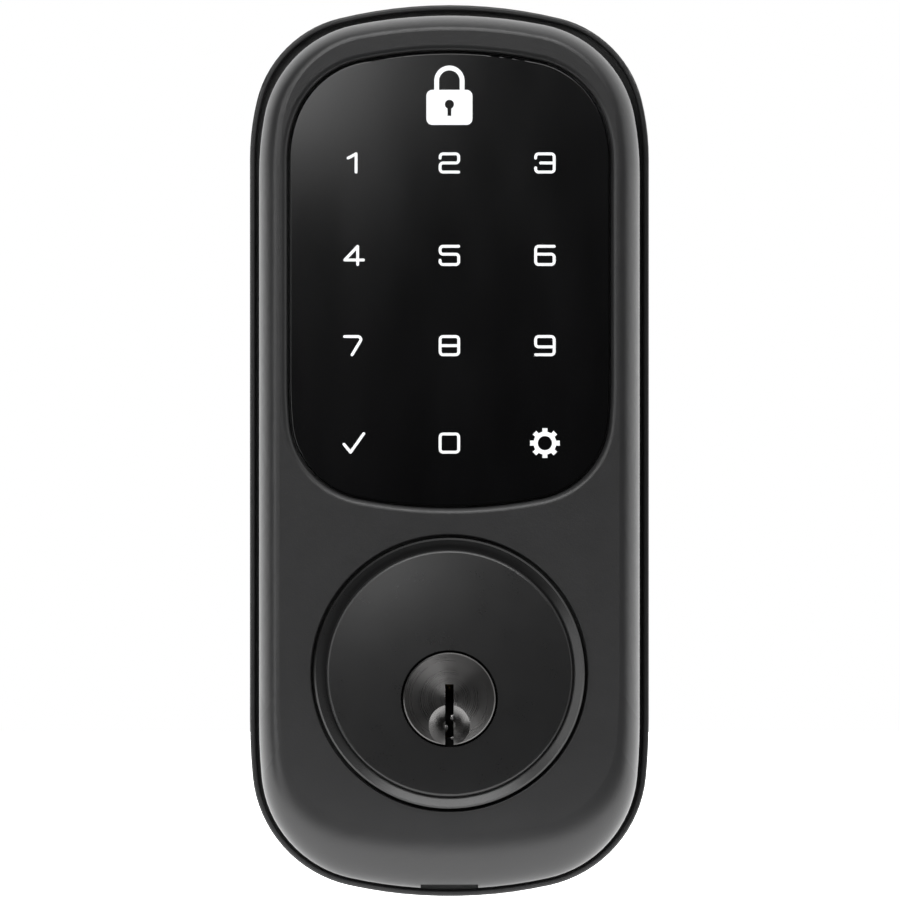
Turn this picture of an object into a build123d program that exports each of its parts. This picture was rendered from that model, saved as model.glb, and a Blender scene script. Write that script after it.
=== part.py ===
from build123d import *
import math
import os

os.makedirs("parts", exist_ok=True)

# Keypad smart lock: outdoor unit, indoor unit, and what joins them through the door.
# Millimetres. X right and Z up as seen from outdoors, Y into the door.
# The origin is on the key plug's axis, on the door's outside face.

# ---- overall sizes ----
WIDTH = 66.0  # backplate, widest
RISE = 114.6  # plug axis to the backplate's top
DROP = 32.8  # plug axis to the backplate's foot
FRONT = 22.0  # escutcheon's flat face, out from the door
DOOR = 45.0  # door thickness
ROOM_DEPTH = 33.0  # indoor unit, door to its front

# ---- outlines: crown radius, corner radius, side radius, side arc in degrees ----
BASE_TOP = (76.9, 18.5, 40.8, 13.7)
BASE_FOOT = (77.8, 20.4, 101.0, 5.3)
SHELL_TOP = (80.0, 18.9, 53.2, 10.3)
SHELL_FOOT = (76.2, 18.8, 99.4, 5.3)
LENS_TOP = (70.4, 14.3, 20.0, 20.7)
LENS_FOOT = (76.2, 13.6, 81.4, 4.9)

# ---- outdoor unit ----
GASKET = 1.2  # foam thickness
PLATE = 2.0  # backplate floor
RIM_WALL = 0.95
RIM_HEIGHT = 2.8  # above the floor
SHELL_STEP = 1.6  # backplate side to escutcheon side
SHELL_WALL = 2.2
FACE_WALL = 2.4
SHOULDER_DEPTH = 6.0
SHOULDER_SIDE = 3.4
SHOULDER_TOP = 2.5
SHOULDER_FOOT = 9.0
LENS_MARGIN = 5.06  # escutcheon side to lens side
LENS_TOP_MARGIN = 6.2
LENS_FOOT_Z = 31.75
LENS_GAP = 0.35
LENS_SUNK = 0.7
LENS_THICK = 1.8
SEAL = 0.5
LEDGE = 1.6
BOARD = 1.6  # both circuit boards
LEGEND_DEPTH = 0.2
KEY_COLUMN = 15.75
STROKE = 0.48  # width of the legends' lines
LEGEND_WIDE = 3.06  # middle of one line to middle of the other
LEGEND_TALL = 3.0

# ---- cylinder ----
COLLAR_Z = 4.2  # collar centre above the plug axis
COLLAR_R = 22.3
COLLAR_GAP = 0.5
COLLAR_WALL = 2.0
COLLAR_PROUD = 2.4  # past the escutcheon's face
COLLAR_DOME = 1.2  # height of the face's crown
COLLAR_BAND = 1.9  # width of the dished band round the face
COLLAR_REAR = 9.0  # its back edge, out from the door
BARREL_R = 9.0
PLUG_R = 6.32
PLUG_PLAY = 0.06
PLUG_HEAD_R = 7.6
PIN_R = 1.46
PIN_PLAY = 0.04
PIN_PITCH = 3.9
PIN_COUNT = 5
FIRST_PIN = 17.5  # out from the door
PIN_TIPS = (1.6, 0.4, 1.2, -0.6, 0.8)  # heights of the key pins' tips with the key in
PIN_FLOOR = -1.9  # where a key pin lands with no key
BOLT_SPACING = 38.1
BOLT_R = 2.08

# ---- indoor unit ----
ROOM_TRIM = 1.0  # smaller than the backplate all round
ROOM_WALL = 2.0
ROOM_PLATE = 2.0
PLATE_TRIM = 5.0
CHASSIS_TRIM = 3.2
SPLIT_Z = 35.0  # battery cover's lower edge
SPLIT_Y = 15.0  # battery cover's back edge, in from the door
SHAFT_R = 6.0
SHAFT_PLAY = 0.05
MODULE = 0.8
PRESSURE = math.radians(25)
BACKLASH = 0.14
OUTPUT_TEETH = 44
SMALL_TEETH = 12
WHEEL_TEETH = 36
IDLER_TURN = 50.2  # bearing of the idler from the shaft, degrees
PINION_TURN = 155.0  # bearing of the motor from the idler
CELL_R = 7.0
CELL_LENGTH = 50.5
CELL_PITCH = 14.6
BAY_FOOT = 38.0
BAY_LENGTH = 54.6
CELL_Y = DOOR + 19.5
CABLE_R = 1.6
CABLE_X = -14.0
CABLE_Z = 20.5
BLADE = (2.2, 7.0)

# ---- derived ----
FLOOR = GASKET + PLATE
BOARD_FRONT = FRONT - LENS_SUNK - LENS_THICK - SEAL - LEDGE
BASE = (BASE_TOP, BASE_FOOT, WIDTH / 2, RISE, DROP)
SHELL = (SHELL_TOP, SHELL_FOOT, WIDTH / 2 - SHELL_STEP, RISE - 1.9, DROP - 1.4)
LENS = (LENS_TOP, LENS_FOOT, SHELL[2] - LENS_MARGIN, SHELL[3] - LENS_TOP_MARGIN, -LENS_FOOT_Z)
LENS_FACE = FRONT - LENS_SUNK
LENS_HEIGHT = LENS[3] - LENS_FOOT_Z
KEY_ROWS = [LENS_FOOT_Z + LENS_HEIGHT * share for share in (0.757, 0.553, 0.354, 0.139)]
ICON_Z = LENS_FOOT_Z + LENS_HEIGHT * 0.905
CHAMBERS = [-(FIRST_PIN - PIN_PITCH * i) for i in range(PIN_COUNT)]
CHAMBER_R = PIN_R + PIN_PLAY
ROOM_FRONT = DOOR + ROOM_DEPTH
POST_X = BOLT_SPACING / 2
IDLER_REACH = MODULE * (OUTPUT_TEETH + SMALL_TEETH) / 2
PINION_REACH = MODULE * (WHEEL_TEETH + SMALL_TEETH) / 2
IDLER_X = IDLER_REACH * math.cos(math.radians(IDLER_TURN))
IDLER_Z = IDLER_REACH * math.sin(math.radians(IDLER_TURN))
MOTOR_X = IDLER_X + PINION_REACH * math.cos(math.radians(PINION_TURN))
MOTOR_Z = IDLER_Z + PINION_REACH * math.sin(math.radians(PINION_TURN))
CHASSIS_Y = DOOR + ROOM_PLATE
GEAR_Y = CHASSIS_Y + 2.5
WHEEL_Y = GEAR_Y + 4.7
COVER_Y = WHEEL_Y + 3.2
BOARD_Y = CHASSIS_Y + 2.6
TRAY_Y = CELL_Y - CELL_R - 0.3
BAY_TOP = BAY_FOOT + BAY_LENGTH


def front(d):
    """Sketch plane facing outdoors, d out from the door's outside face."""
    return Plane.XZ.offset(d)


def end_arcs(end, half_width, reach, trim):
    """Right half of a rounded end, widest point first: centre, radius and angles of its arcs."""
    crown_r, corner_r, side_r, side_deg = end
    turn = math.radians(side_deg)
    corner_x = half_width - side_r + (side_r - corner_r) * math.cos(turn)
    crown_turn = math.acos(corner_x / (crown_r - corner_r))
    corner_z = reach - crown_r + (crown_r - corner_r) * math.sin(crown_turn)
    side_z = corner_z - (side_r - corner_r) * math.sin(turn)
    crown_deg = math.degrees(crown_turn)
    return (
        (half_width - side_r, side_z, side_r - trim, 0, side_deg),
        (corner_x, corner_z, corner_r - trim, side_deg, crown_deg),
        (0, reach - crown_r, crown_r - trim, crown_deg, 180 - crown_deg),
    )


def outline(shape, d, trim=0.0, side=0.0, top=0.0, foot=0.0):
    """Face of a lock outline at d, set in by trim all round and by a shoulder at each side."""
    top_end, foot_end, half_width, rise, drop = shape
    wide = half_width - side
    with BuildSketch(front(d)) as face:
        with BuildLine():
            level = []
            for sign, end, reach in ((1, top_end, rise - top), (-1, foot_end, drop - foot)):
                radii = (end[0] - side, end[1] - side, end[2] - side, end[3])
                arcs = end_arcs(radii, wide, reach, trim)
                level.append(sign * arcs[0][1])
                for cx, cz, r, start, stop in arcs:
                    turns = [math.radians(a) for a in (start, (start + stop) / 2, stop)]
                    path = [(cx + r * math.cos(a), sign * (cz + r * math.sin(a))) for a in turns]
                    ThreePointArc(*path)
                    if cx:
                        ThreePointArc(*[(-x, z) for x, z in path])
            for x in (trim - wide, wide - trim):
                Line((x, level[0]), (x, level[1]))
        make_face()
    return face.sketch


def slab(shape, d0, d1, trim=0.0, mode=Mode.ADD):
    """Plate with a lock outline between two depths out from the door, d1 the outer one."""
    extrude(outline(shape, d1, trim), amount=d0 - d1, mode=mode)


def rod(radius, y0, y1, x=0.0, z=0.0, mode=Mode.ADD):
    """Round bar along Y."""
    low = (Align.CENTER, Align.CENTER, Align.MIN)
    with Locations((x, y0, z)):
        Cylinder(radius, y1 - y0, rotation=(-90, 0, 0), align=low, mode=mode)


def cone(r0, r1, y0, y1, x=0.0, z=0.0, mode=Mode.ADD):
    """Cone along Y, radius r0 at y0."""
    low = (Align.CENTER, Align.CENTER, Align.MIN)
    with Locations((x, y0, z)):
        Cone(r0, r1, y1 - y0, rotation=(-90, 0, 0), align=low, mode=mode)


def upright(radius, z0, z1, x, y, mode=Mode.ADD):
    """Round bar along Z."""
    with Locations((x, y, z0)):
        Cylinder(radius, z1 - z0, align=(Align.CENTER, Align.CENTER, Align.MIN), mode=mode)


def block(x, y, z, mode=Mode.ADD):
    """Box between pairs of X, Y and Z limits."""
    with Locations(((x[0] + x[1]) / 2, (y[0] + y[1]) / 2, (z[0] + z[1]) / 2)):
        Box(x[1] - x[0], y[1] - y[0], z[1] - z[0], mode=mode)


def csk_screw(x, z, y_head, y_tip, head_r, shank_r):
    """Countersunk screw along Y with a cross recess, its head at y_head."""
    way = 1 if y_tip > y_head else -1
    neck = y_head + way * (head_r - shank_r)
    if way > 0:
        cone(head_r, shank_r, y_head, neck, x, z)
        rod(shank_r, neck, y_tip, x, z)
    else:
        cone(shank_r, head_r, neck, y_head, x, z)
        rod(shank_r, y_tip, neck, x, z)
    low, high = sorted((y_head, y_head + way * 0.9))
    for wide, tall in ((head_r * 1.1, 0.5), (0.5, head_r * 1.1)):
        block((x - wide / 2, x + wide / 2), (low, high), (z - tall / 2, z + tall / 2), Mode.SUBTRACT)


def pan_screw(x, z, y_seat, head_h, y_tip, head_r, shank_r):
    """Flat-headed screw along Y, its head on the far side of y_seat from its tip."""
    way = 1 if y_tip > y_seat else -1
    low, high = sorted((y_seat, y_seat - way * head_h))
    rod(head_r, low, high, x, z)
    low, high = sorted((y_seat, y_tip))
    rod(shank_r, low, high, x, z)
    top = y_seat - way * head_h
    low, high = sorted((top, top + way * head_h * 0.5))
    for wide, tall in ((head_r * 1.1, 0.45), (0.45, head_r * 1.1)):
        block((x - wide / 2, x + wide / 2), (low, high), (z - tall / 2, z + tall / 2), Mode.SUBTRACT)


# ---- legends ----
def strokes(paths, x, z, d):
    """Face of one symbol drawn with round-ended strokes; a path that returns to its start is closed."""
    with BuildSketch(front(d)) as face:
        for path in paths:
            looped = path[0] == path[-1]
            points = [(x + u, z + v) for u, v in (path[:-1] if looped else path)]
            with BuildLine() as line:
                if len(points) > 2:
                    FilletPolyline(*points, radius=0.5, close=looped)
                else:
                    Line(*points)
            trace(line.edges(), STROKE)
            if not looped:
                with Locations(points[0], points[-1]):
                    Circle(STROKE / 2)
    return face.sketch


LEFT, RIGHT = -LEGEND_WIDE / 2, LEGEND_WIDE / 2
LOW, HIGH = -LEGEND_TALL / 2, LEGEND_TALL / 2
RING = [(LEFT, LOW), (RIGHT, LOW), (RIGHT, HIGH), (LEFT, HIGH), (LEFT, LOW)]
SYMBOLS = {
    "1": [[(0.36, LOW), (0.36, HIGH)], [(0.36, HIGH), (-0.95, 0.8)]],
    "2": [[(LEFT, 0.8), (LEFT, HIGH), (RIGHT, HIGH), (RIGHT, 0), (LEFT, 0), (LEFT, LOW), (RIGHT, LOW)]],
    "3": [
        [(LEFT, 0.8), (LEFT, HIGH), (RIGHT, HIGH), (RIGHT, LOW), (LEFT, LOW), (LEFT, -0.8)],
        [(-0.7, 0), (RIGHT, 0)],
    ],
    "4": [[(0.62, LOW), (0.62, HIGH)], [(0.62, HIGH), (-1.5, -0.75)], [(-1.5, -0.75), (1.56, -0.75)]],
    "5": [[(RIGHT, HIGH), (LEFT, HIGH), (LEFT, 0.2), (RIGHT, 0.2), (RIGHT, LOW), (LEFT, LOW), (LEFT, -0.8)]],
    "6": [
        [(RIGHT, HIGH), (LEFT, HIGH), (LEFT, LOW), (RIGHT, LOW), (RIGHT, 0.2), (-0.6, 0.2)],
        [(-0.6, 0.2), (LEFT, 0.2)],
    ],
    "7": [[(LEFT, HIGH), (RIGHT, HIGH), (-0.3, LOW)]],
    "8": [RING, [(LEFT, 0), (RIGHT, 0)]],
    "9": [
        [(LEFT, LOW), (RIGHT, LOW), (RIGHT, HIGH), (LEFT, HIGH), (LEFT, -0.2), (0.6, -0.2)],
        [(0.6, -0.2), (RIGHT, -0.2)],
    ],
    "0": [RING],
    "tick": [[(-1.62, -0.2), (-0.55, -1.5)], [(-0.55, -1.5), (1.62, 1.55)]],
}
KEYS = (("1", "2", "3"), ("4", "5", "6"), ("7", "8", "9"), ("tick", "0", ""))


def cog_face(x, z, d):
    """Face of the settings symbol: a small eight-toothed cog with a round hole."""
    with BuildSketch(front(d)) as face:
        with Locations((x, z)):
            Circle(1.9)
            with PolarLocations(2.0, 8):
                Rectangle(0.9, 0.84)
            Circle(1.16, mode=Mode.SUBTRACT)
    return face.sketch


def padlock_face(z, d):
    """Face of the padlock symbol above the keys, with a keyhole."""
    with BuildSketch(front(d)) as face:
        with Locations((0, z + 1.2)):
            SlotOverall(7.6, 5.0, rotation=90)
            SlotOverall(6.0, 3.4, rotation=90, mode=Mode.SUBTRACT)
        with Locations((0, z - 1.9)):
            RectangleRounded(7.6, 5.8, 1.0)
        with Locations((0, z - 1.4)):
            Circle(0.75, mode=Mode.SUBTRACT)
        with Locations((0, z - 2.5)):
            Rectangle(0.62, 1.6, mode=Mode.SUBTRACT)
    return face.sketch


def legend_faces(d):
    """Faces of the twelve key symbols."""
    faces = []
    for row, names in zip(KEY_ROWS, KEYS):
        for column, name in zip((-KEY_COLUMN, 0, KEY_COLUMN), names):
            faces.append(strokes(SYMBOLS[name], column, row, d) if name else cog_face(column, row, d))
    return faces


with BuildPart() as keypad_legends:
    for symbol in legend_faces(LENS_FACE):
        extrude(symbol, amount=-LEGEND_DEPTH)
keypad_legends.part.label = "keypad_legends"
export_step(keypad_legends.part, "parts/keypad_legends.step")

with BuildPart() as lock_icon:
    extrude(padlock_face(ICON_Z, LENS_FACE), amount=-LEGEND_DEPTH)
lock_icon.part.label = "lock_icon"
export_step(lock_icon.part, "parts/lock_icon.step")

# ---- touch screen, with pockets for the legends ----
with BuildPart() as touchscreen_lens:
    slab(LENS, LENS_FACE - LENS_THICK, LENS_FACE)
    fillet(touchscreen_lens.faces().sort_by(Axis.Y)[0].outer_wire().edges(), 0.3)
    add(keypad_legends.part, mode=Mode.SUBTRACT)
    add(lock_icon.part, mode=Mode.SUBTRACT)
touchscreen_lens.part.label = "touchscreen_lens"
export_step(touchscreen_lens.part, "parts/touchscreen_lens.step")

LENS_BACK = LENS_FACE - LENS_THICK

with BuildPart() as lens_seal:
    slab(LENS, LENS_BACK - SEAL, LENS_BACK, trim=0.3)
    slab(LENS, LENS_BACK - SEAL, LENS_BACK, trim=2.3, mode=Mode.SUBTRACT)
lens_seal.part.label = "lens_seal"
export_step(lens_seal.part, "parts/lens_seal.step")

with BuildPart() as light_guide:
    slab(LENS, LENS_BACK - 1.2, LENS_BACK, trim=3.0)
light_guide.part.label = "light_guide"
export_step(light_guide.part, "parts/light_guide.step")

# ---- gasket and backplate ----
with BuildPart() as exterior_gasket:
    slab(BASE, 0, GASKET, trim=0.6)
    slab(BASE, 0, GASKET, trim=3.2, mode=Mode.SUBTRACT)
exterior_gasket.part.label = "exterior_gasket"
export_step(exterior_gasket.part, "parts/exterior_gasket.step")

# screw positions that hold the escutcheon to the backplate
SHELL_SCREWS = [
    (side * x, z)
    for side in (-1, 1)
    for x, z in ((SHELL[2] - 7.9, SHELL[3] - 8.7), (SHELL[2] - 5.0, 28.0), (SHELL[2] - 9.4, 17.4 - SHELL[4]))
]
CYLINDER_SCREWS = [(side * 13.5, -6.0) for side in (-1, 1)]
BOARD_SCREWS = [(side * (LENS[2] - 1.1), KEY_ROWS[row]) for side in (-1, 1) for row in (0, 2)]

with BuildPart() as exterior_backplate:
    slab(BASE, GASKET, FLOOR + RIM_HEIGHT)
    slab(BASE, FLOOR, FLOOR + RIM_HEIGHT, trim=RIM_WALL, mode=Mode.SUBTRACT)
    fillet(exterior_backplate.edges().group_by(Axis.Y)[0], 0.35)
    rod(BARREL_R + 0.3, -FLOOR, -GASKET, mode=Mode.SUBTRACT)
    block((-4.6, 4.6), (-FLOOR, -GASKET), (0, 19.9), Mode.SUBTRACT)
    rod(3.0, -FLOOR, -GASKET, CABLE_X, CABLE_Z, Mode.SUBTRACT)
    for x in (-POST_X, POST_X):
        rod(3.3, -FLOOR, -GASKET, x, 0, Mode.SUBTRACT)
    for x, z in SHELL_SCREWS:
        rod(1.6, -FLOOR, -GASKET, x, z, Mode.SUBTRACT)
        cone(1.6, 3.0, -GASKET - 1.4, -GASKET, x, z, Mode.SUBTRACT)
exterior_backplate.part.label = "exterior_backplate"
export_step(exterior_backplate.part, "parts/exterior_backplate.step")

with BuildPart() as backplate_screws:
    for x, z in SHELL_SCREWS:
        csk_screw(x, z, -GASKET - 0.05, -GASKET - 10.0, 2.9, 1.5)
backplate_screws.part.label = "backplate_screws"
export_step(backplate_screws.part, "parts/backplate_screws.step")


# ---- front escutcheon ----
def shell_form(trim, face_d):
    """Escutcheon body: straight walls, then a shoulder narrow at the top and wide at the foot."""
    with BuildPart() as form:
        spring = face_d - SHOULDER_DEPTH
        extrude(outline(SHELL, spring, trim), amount=FLOOR - spring)
        sections = []
        for step in range(7):
            turn = math.radians(90 * step / 6)
            depth = spring + SHOULDER_DEPTH * math.sin(turn)
            inward = 1 - math.cos(turn)
            sections.append(
                outline(
                    SHELL, depth, trim, SHOULDER_SIDE * inward, SHOULDER_TOP * inward, SHOULDER_FOOT * inward
                )
            )
        loft(sections)
    return form.part


shell_outer = shell_form(0, FRONT)
shell_inner = shell_form(SHELL_WALL, FRONT - FACE_WALL)
LEDGE_FRONT = LENS_BACK - SEAL

with BuildPart() as front_escutcheon:
    add(shell_outer)
    add(shell_inner, mode=Mode.SUBTRACT)
    slab(LENS, BOARD_FRONT, FRONT - FACE_WALL, trim=-2.2)
    for x, z in SHELL_SCREWS:
        rod(2.5, -FRONT + FACE_WALL, -FLOOR, x, z)
    add(shell_outer, mode=Mode.INTERSECT)
    slab(LENS, LEDGE_FRONT, FRONT, trim=-LENS_GAP, mode=Mode.SUBTRACT)
    slab(LENS, BOARD_FRONT, LEDGE_FRONT, trim=2.5, mode=Mode.SUBTRACT)
    rod(COLLAR_R + COLLAR_GAP, -FRONT, -FRONT + FACE_WALL, 0, COLLAR_Z, Mode.SUBTRACT)
    mouths = front_escutcheon.faces().sort_by(Axis.Y)[0].inner_wires().sort_by(SortBy.LENGTH)
    fillet(mouths[-1].edges(), 1.0)
    rim = front_escutcheon.edges().filter_by(GeomType.CIRCLE).group_by(Axis.Y)[0]
    fillet(rim.filter_by(lambda e: abs(e.radius - COLLAR_R - COLLAR_GAP) < 0.01), 0.25)
    block((-4.75, 4.75), (-FRONT + 3, -FLOOR), (-SHELL[4] - 1, -SHELL[4] + 0.7), Mode.SUBTRACT)
    for x, z in SHELL_SCREWS:
        rod(1.55, -FLOOR - 9.5, -FLOOR, x, z, Mode.SUBTRACT)
    for x, z in BOARD_SCREWS:
        rod(0.75, -BOARD_FRONT - LEDGE + 0.3, -BOARD_FRONT, x, z, Mode.SUBTRACT)
front_escutcheon.part.label = "front_escutcheon"
export_step(front_escutcheon.part, "parts/front_escutcheon.step")

# ---- keypad electronics ----
BOARD_BACK = BOARD_FRONT - BOARD
with BuildPart() as keypad_circuit_board:
    slab(LENS, BOARD_BACK, BOARD_FRONT, trim=-0.6)
    for x, z in BOARD_SCREWS:
        rod(0.8, -BOARD_FRONT, -BOARD_BACK, x, z, Mode.SUBTRACT)
keypad_circuit_board.part.label = "keypad_circuit_board"
export_step(keypad_circuit_board.part, "parts/keypad_circuit_board.step")

with BuildPart() as keypad_board_screws:
    for x, z in BOARD_SCREWS:
        pan_screw(x, z, -BOARD_BACK, 1.0, -BOARD_FRONT - LEDGE + 0.4, 1.4, 0.7)
keypad_board_screws.part.label = "keypad_board_screws"
export_step(keypad_board_screws.part, "parts/keypad_board_screws.step")

with BuildPart() as backlight_leds:
    spots = [(x, z) for z in KEY_ROWS for x in (-KEY_COLUMN, 0, KEY_COLUMN)] + [(0, ICON_Z)]
    for x, z in spots:
        block((x - 0.8, x + 0.8), (-BOARD_FRONT - 0.6, -BOARD_FRONT), (z - 0.6, z + 0.6))
backlight_leds.part.label = "backlight_leds"
export_step(backlight_leds.part, "parts/backlight_leds.step")

# chips, passives, cable socket and round buzzer on the board's back: x, z, width, height, thickness
SOCKET_Z = 40.0
KEYPAD_PARTS = ((8.0, 66.0, 9.0, 9.0, 1.2), (-9.0, 73.0, 6.0, 5.0, 1.0), (14.0, 84.0, 3.2, 2.5, 0.8))
with BuildPart() as keypad_board_parts:
    for x, z, wide, tall, thick in KEYPAD_PARTS:
        block((x - wide / 2, x + wide / 2), (-BOARD_BACK, thick - BOARD_BACK), (z - tall / 2, z + tall / 2))
    for step in range(6):
        x = -12.0 + 4.8 * step
        block((x - 0.8, x + 0.8), (-BOARD_BACK, 0.8 - BOARD_BACK), (56.4, 57.6))
    block((CABLE_X - 4.5, CABLE_X + 4.5), (-BOARD_BACK, 4.6 - BOARD_BACK), (SOCKET_Z, SOCKET_Z + 5))
    rod(6.0, -BOARD_BACK, 3.0 - BOARD_BACK, 12.0, 47.0)
    rod(1.0, 2.2 - BOARD_BACK, 3.0 - BOARD_BACK, 12.0, 47.0, Mode.SUBTRACT)
keypad_board_parts.part.label = "keypad_board_parts"
export_step(keypad_board_parts.part, "parts/keypad_board_parts.step")

# ---- cable through the door, its plugs and grommet ----
MAIN_SOCKET_Y = BOARD_Y + BOARD
CABLE_FRONT_Y = 2.5 - BOARD_BACK
CABLE_ROOM_Y = MAIN_SOCKET_Y + 1.9
with BuildPart() as keypad_cable:
    with BuildLine() as route:
        FilletPolyline(
            (CABLE_X, CABLE_FRONT_Y, SOCKET_Z - 3),
            (CABLE_X, CABLE_FRONT_Y, SOCKET_Z - 7.5),
            (CABLE_X, -FLOOR - 4.0, SOCKET_Z - 12.5),
            (CABLE_X, -FLOOR - 4.0, CABLE_Z),
            (CABLE_X, CABLE_ROOM_Y, CABLE_Z),
            (CABLE_X, CABLE_ROOM_Y, SOCKET_Z - 3),
            radius=3.0,
        )
    with BuildSketch(Plane(origin=route.line @ 0, z_dir=route.line % 0)):
        Circle(CABLE_R)
    sweep(path=route.line)
keypad_cable.part.label = "keypad_cable"
export_step(keypad_cable.part, "parts/keypad_cable.step")

with BuildPart() as cable_connectors:
    for y in (CABLE_FRONT_Y, CABLE_ROOM_Y):
        block((CABLE_X - 3.6, CABLE_X + 3.6), (y - 1.7, y + 1.7), (SOCKET_Z - 3, SOCKET_Z))
cable_connectors.part.label = "cable_connectors"
export_step(cable_connectors.part, "parts/cable_connectors.step")

with BuildPart() as cable_grommet:
    rod(3.0, -FLOOR, -GASKET, CABLE_X, CABLE_Z)
    rod(4.0, -FLOOR - 0.7, -FLOOR, CABLE_X, CABLE_Z)
    rod(CABLE_R + 0.05, -FLOOR - 1, -GASKET, CABLE_X, CABLE_Z, Mode.SUBTRACT)
cable_grommet.part.label = "cable_grommet"
export_step(cable_grommet.part, "parts/cable_grommet.step")

# ---- cylinder collar: a round cup with threaded posts for the through bolts ----
COLLAR_FRONT = FRONT + COLLAR_PROUD
COLLAR_INNER = -FRONT + 0.2
STEP_R = COLLAR_R - COLLAR_BAND
BAND_FOOT = -FRONT - 0.45
POST_TIP = 10.0
with BuildPart() as cylinder_collar:
    with BuildSketch(Plane.XY.offset(COLLAR_Z)):
        with BuildLine():
            TangentArc((0, -COLLAR_FRONT), (STEP_R, COLLAR_DOME - COLLAR_FRONT), tangent=(1, 0))
            Polyline(
                (STEP_R, COLLAR_DOME - COLLAR_FRONT),
                (STEP_R, BAND_FOOT),
                (COLLAR_R - 0.3, BAND_FOOT - 0.75),
                (COLLAR_R, BAND_FOOT - 0.45),
                (COLLAR_R, 2.6 - FRONT),
                (COLLAR_R + 2.3, 2.6 - FRONT),
                (COLLAR_R + 2.3, 4.4 - FRONT),
                (COLLAR_R, 4.4 - FRONT),
                (COLLAR_R, -COLLAR_REAR),
                (0, -COLLAR_REAR),
                (0, -COLLAR_FRONT),
            )
        make_face()
    revolve(axis=Axis((0, 0, COLLAR_Z), (0, 1, 0)))
    round_edges = cylinder_collar.edges().filter_by(GeomType.CIRCLE)
    fillet(round_edges.filter_by(lambda e: abs(e.radius - STEP_R) < 0.01).sort_by(Axis.Y)[0], 0.6)
    rod(COLLAR_R - COLLAR_WALL, COLLAR_INNER, -COLLAR_REAR, 0, COLLAR_Z, Mode.SUBTRACT)
    rod(PLUG_HEAD_R + 0.4, -COLLAR_FRONT, COLLAR_INNER, mode=Mode.SUBTRACT)
    for x in (-POST_X, POST_X):
        rod(2.9, COLLAR_INNER, POST_TIP, x, 0)
        rod(BOLT_R + 0.04, -5.0, POST_TIP, x, 0, Mode.SUBTRACT)
    for x, z in CYLINDER_SCREWS:
        rod(2.6, COLLAR_INNER, -COLLAR_REAR, x, z)
        rod(1.25, -COLLAR_REAR - 9, -COLLAR_REAR, x, z, Mode.SUBTRACT)
cylinder_collar.part.label = "cylinder_collar"
export_step(cylinder_collar.part, "parts/cylinder_collar.step")

# ---- lock cylinder: body, plug, pins and springs ----
SHEAR = PLUG_R + PLUG_PLAY
SPRING_TOP = 18.0
BODY_TOP = SPRING_TOP + 1.5
DRIVER_FOOT = SHEAR + 0.04
DRIVER_TOP = DRIVER_FOOT + 5.0
with BuildPart() as cylinder_body:
    rod(BARREL_R, COLLAR_INNER, 3.0)
    block((-4.3, 4.3), (CHAMBERS[0] - 3, 0.6), (0, BODY_TOP))
    block((-13.5, 13.5), (-COLLAR_REAR, 1.8 - COLLAR_REAR), (-9.2, -2.8))
    for x, z in CYLINDER_SCREWS:
        rod(3.2, -COLLAR_REAR, 1.8 - COLLAR_REAR, x, z)
        rod(1.4, -COLLAR_REAR, 1.8 - COLLAR_REAR, x, z, Mode.SUBTRACT)
    rod(SHEAR, COLLAR_INNER, 3.0, mode=Mode.SUBTRACT)
    for y in CHAMBERS:
        upright(CHAMBER_R, 0, SPRING_TOP, 0, y, Mode.SUBTRACT)
    block((-1.8, 1.8), (CHAMBERS[0] - 2, 0), (SPRING_TOP, BODY_TOP), Mode.SUBTRACT)
cylinder_body.part.label = "cylinder_body"
export_step(cylinder_body.part, "parts/cylinder_body.step")

with BuildPart() as chamber_cap:
    block((-1.8, 1.8), (CHAMBERS[0] - 2, 0), (SPRING_TOP, BODY_TOP))
chamber_cap.part.label = "chamber_cap"
export_step(chamber_cap.part, "parts/chamber_cap.step")

with BuildPart() as cylinder_screws:
    for x, z in CYLINDER_SCREWS:
        pan_screw(x, z, 1.8 - COLLAR_REAR, 1.8, -COLLAR_REAR - 8.0, 2.6, 1.2)
cylinder_screws.part.label = "cylinder_screws"
export_step(cylinder_screws.part, "parts/cylinder_screws.step")

STEM_END = 5.0
LUG_DEG = 40.0
LUG_R = PLUG_R - 0.32  # the lugs and the tailpiece disc turn inside the cap
LUG_THICK = 2.4  # radial


def lug_face(y, middle_deg):
    """Driving lug at depth y into the door, its middle turned clockwise from the top, seen from outdoors."""
    with BuildSketch(front(-y)) as face:
        Circle(LUG_R)
        Circle(LUG_R - LUG_THICK, mode=Mode.SUBTRACT)
        turns = [math.radians(90 - middle_deg + step * LUG_DEG / 2) for step in (-1, 0, 1)]
        reach = [((LUG_R + 2) * math.cos(a), (LUG_R + 2) * math.sin(a)) for a in turns]
        with BuildLine():
            Polyline((0, 0), reach[0], reach[1], reach[2], close=True)
        make_face(mode=Mode.INTERSECT)
    return face.sketch


with BuildPart() as key_plug:
    rod(PLUG_HEAD_R, -COLLAR_FRONT - 0.2, COLLAR_INNER - 0.1)
    chamfer(key_plug.edges().sort_by(Axis.Y)[0], 0.2)
    rod(PLUG_R, COLLAR_INNER - 0.1, STEM_END)
    extrude(lug_face(STEM_END, 45.0), amount=-2.0)
    cone(3.4, 1.0, -COLLAR_FRONT - 0.2, -COLLAR_FRONT + 1.9, 0, -4.4, Mode.SUBTRACT)
    block((-0.7, 0.7), (-COLLAR_FRONT - 0.2, 1.0), (-PLUG_HEAD_R, 2.4), Mode.SUBTRACT)
    for y in CHAMBERS:
        upright(CHAMBER_R, PIN_FLOOR - 0.1, PLUG_R, 0, y, Mode.SUBTRACT)
key_plug.part.label = "key_plug"
export_step(key_plug.part, "parts/key_plug.step")

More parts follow.
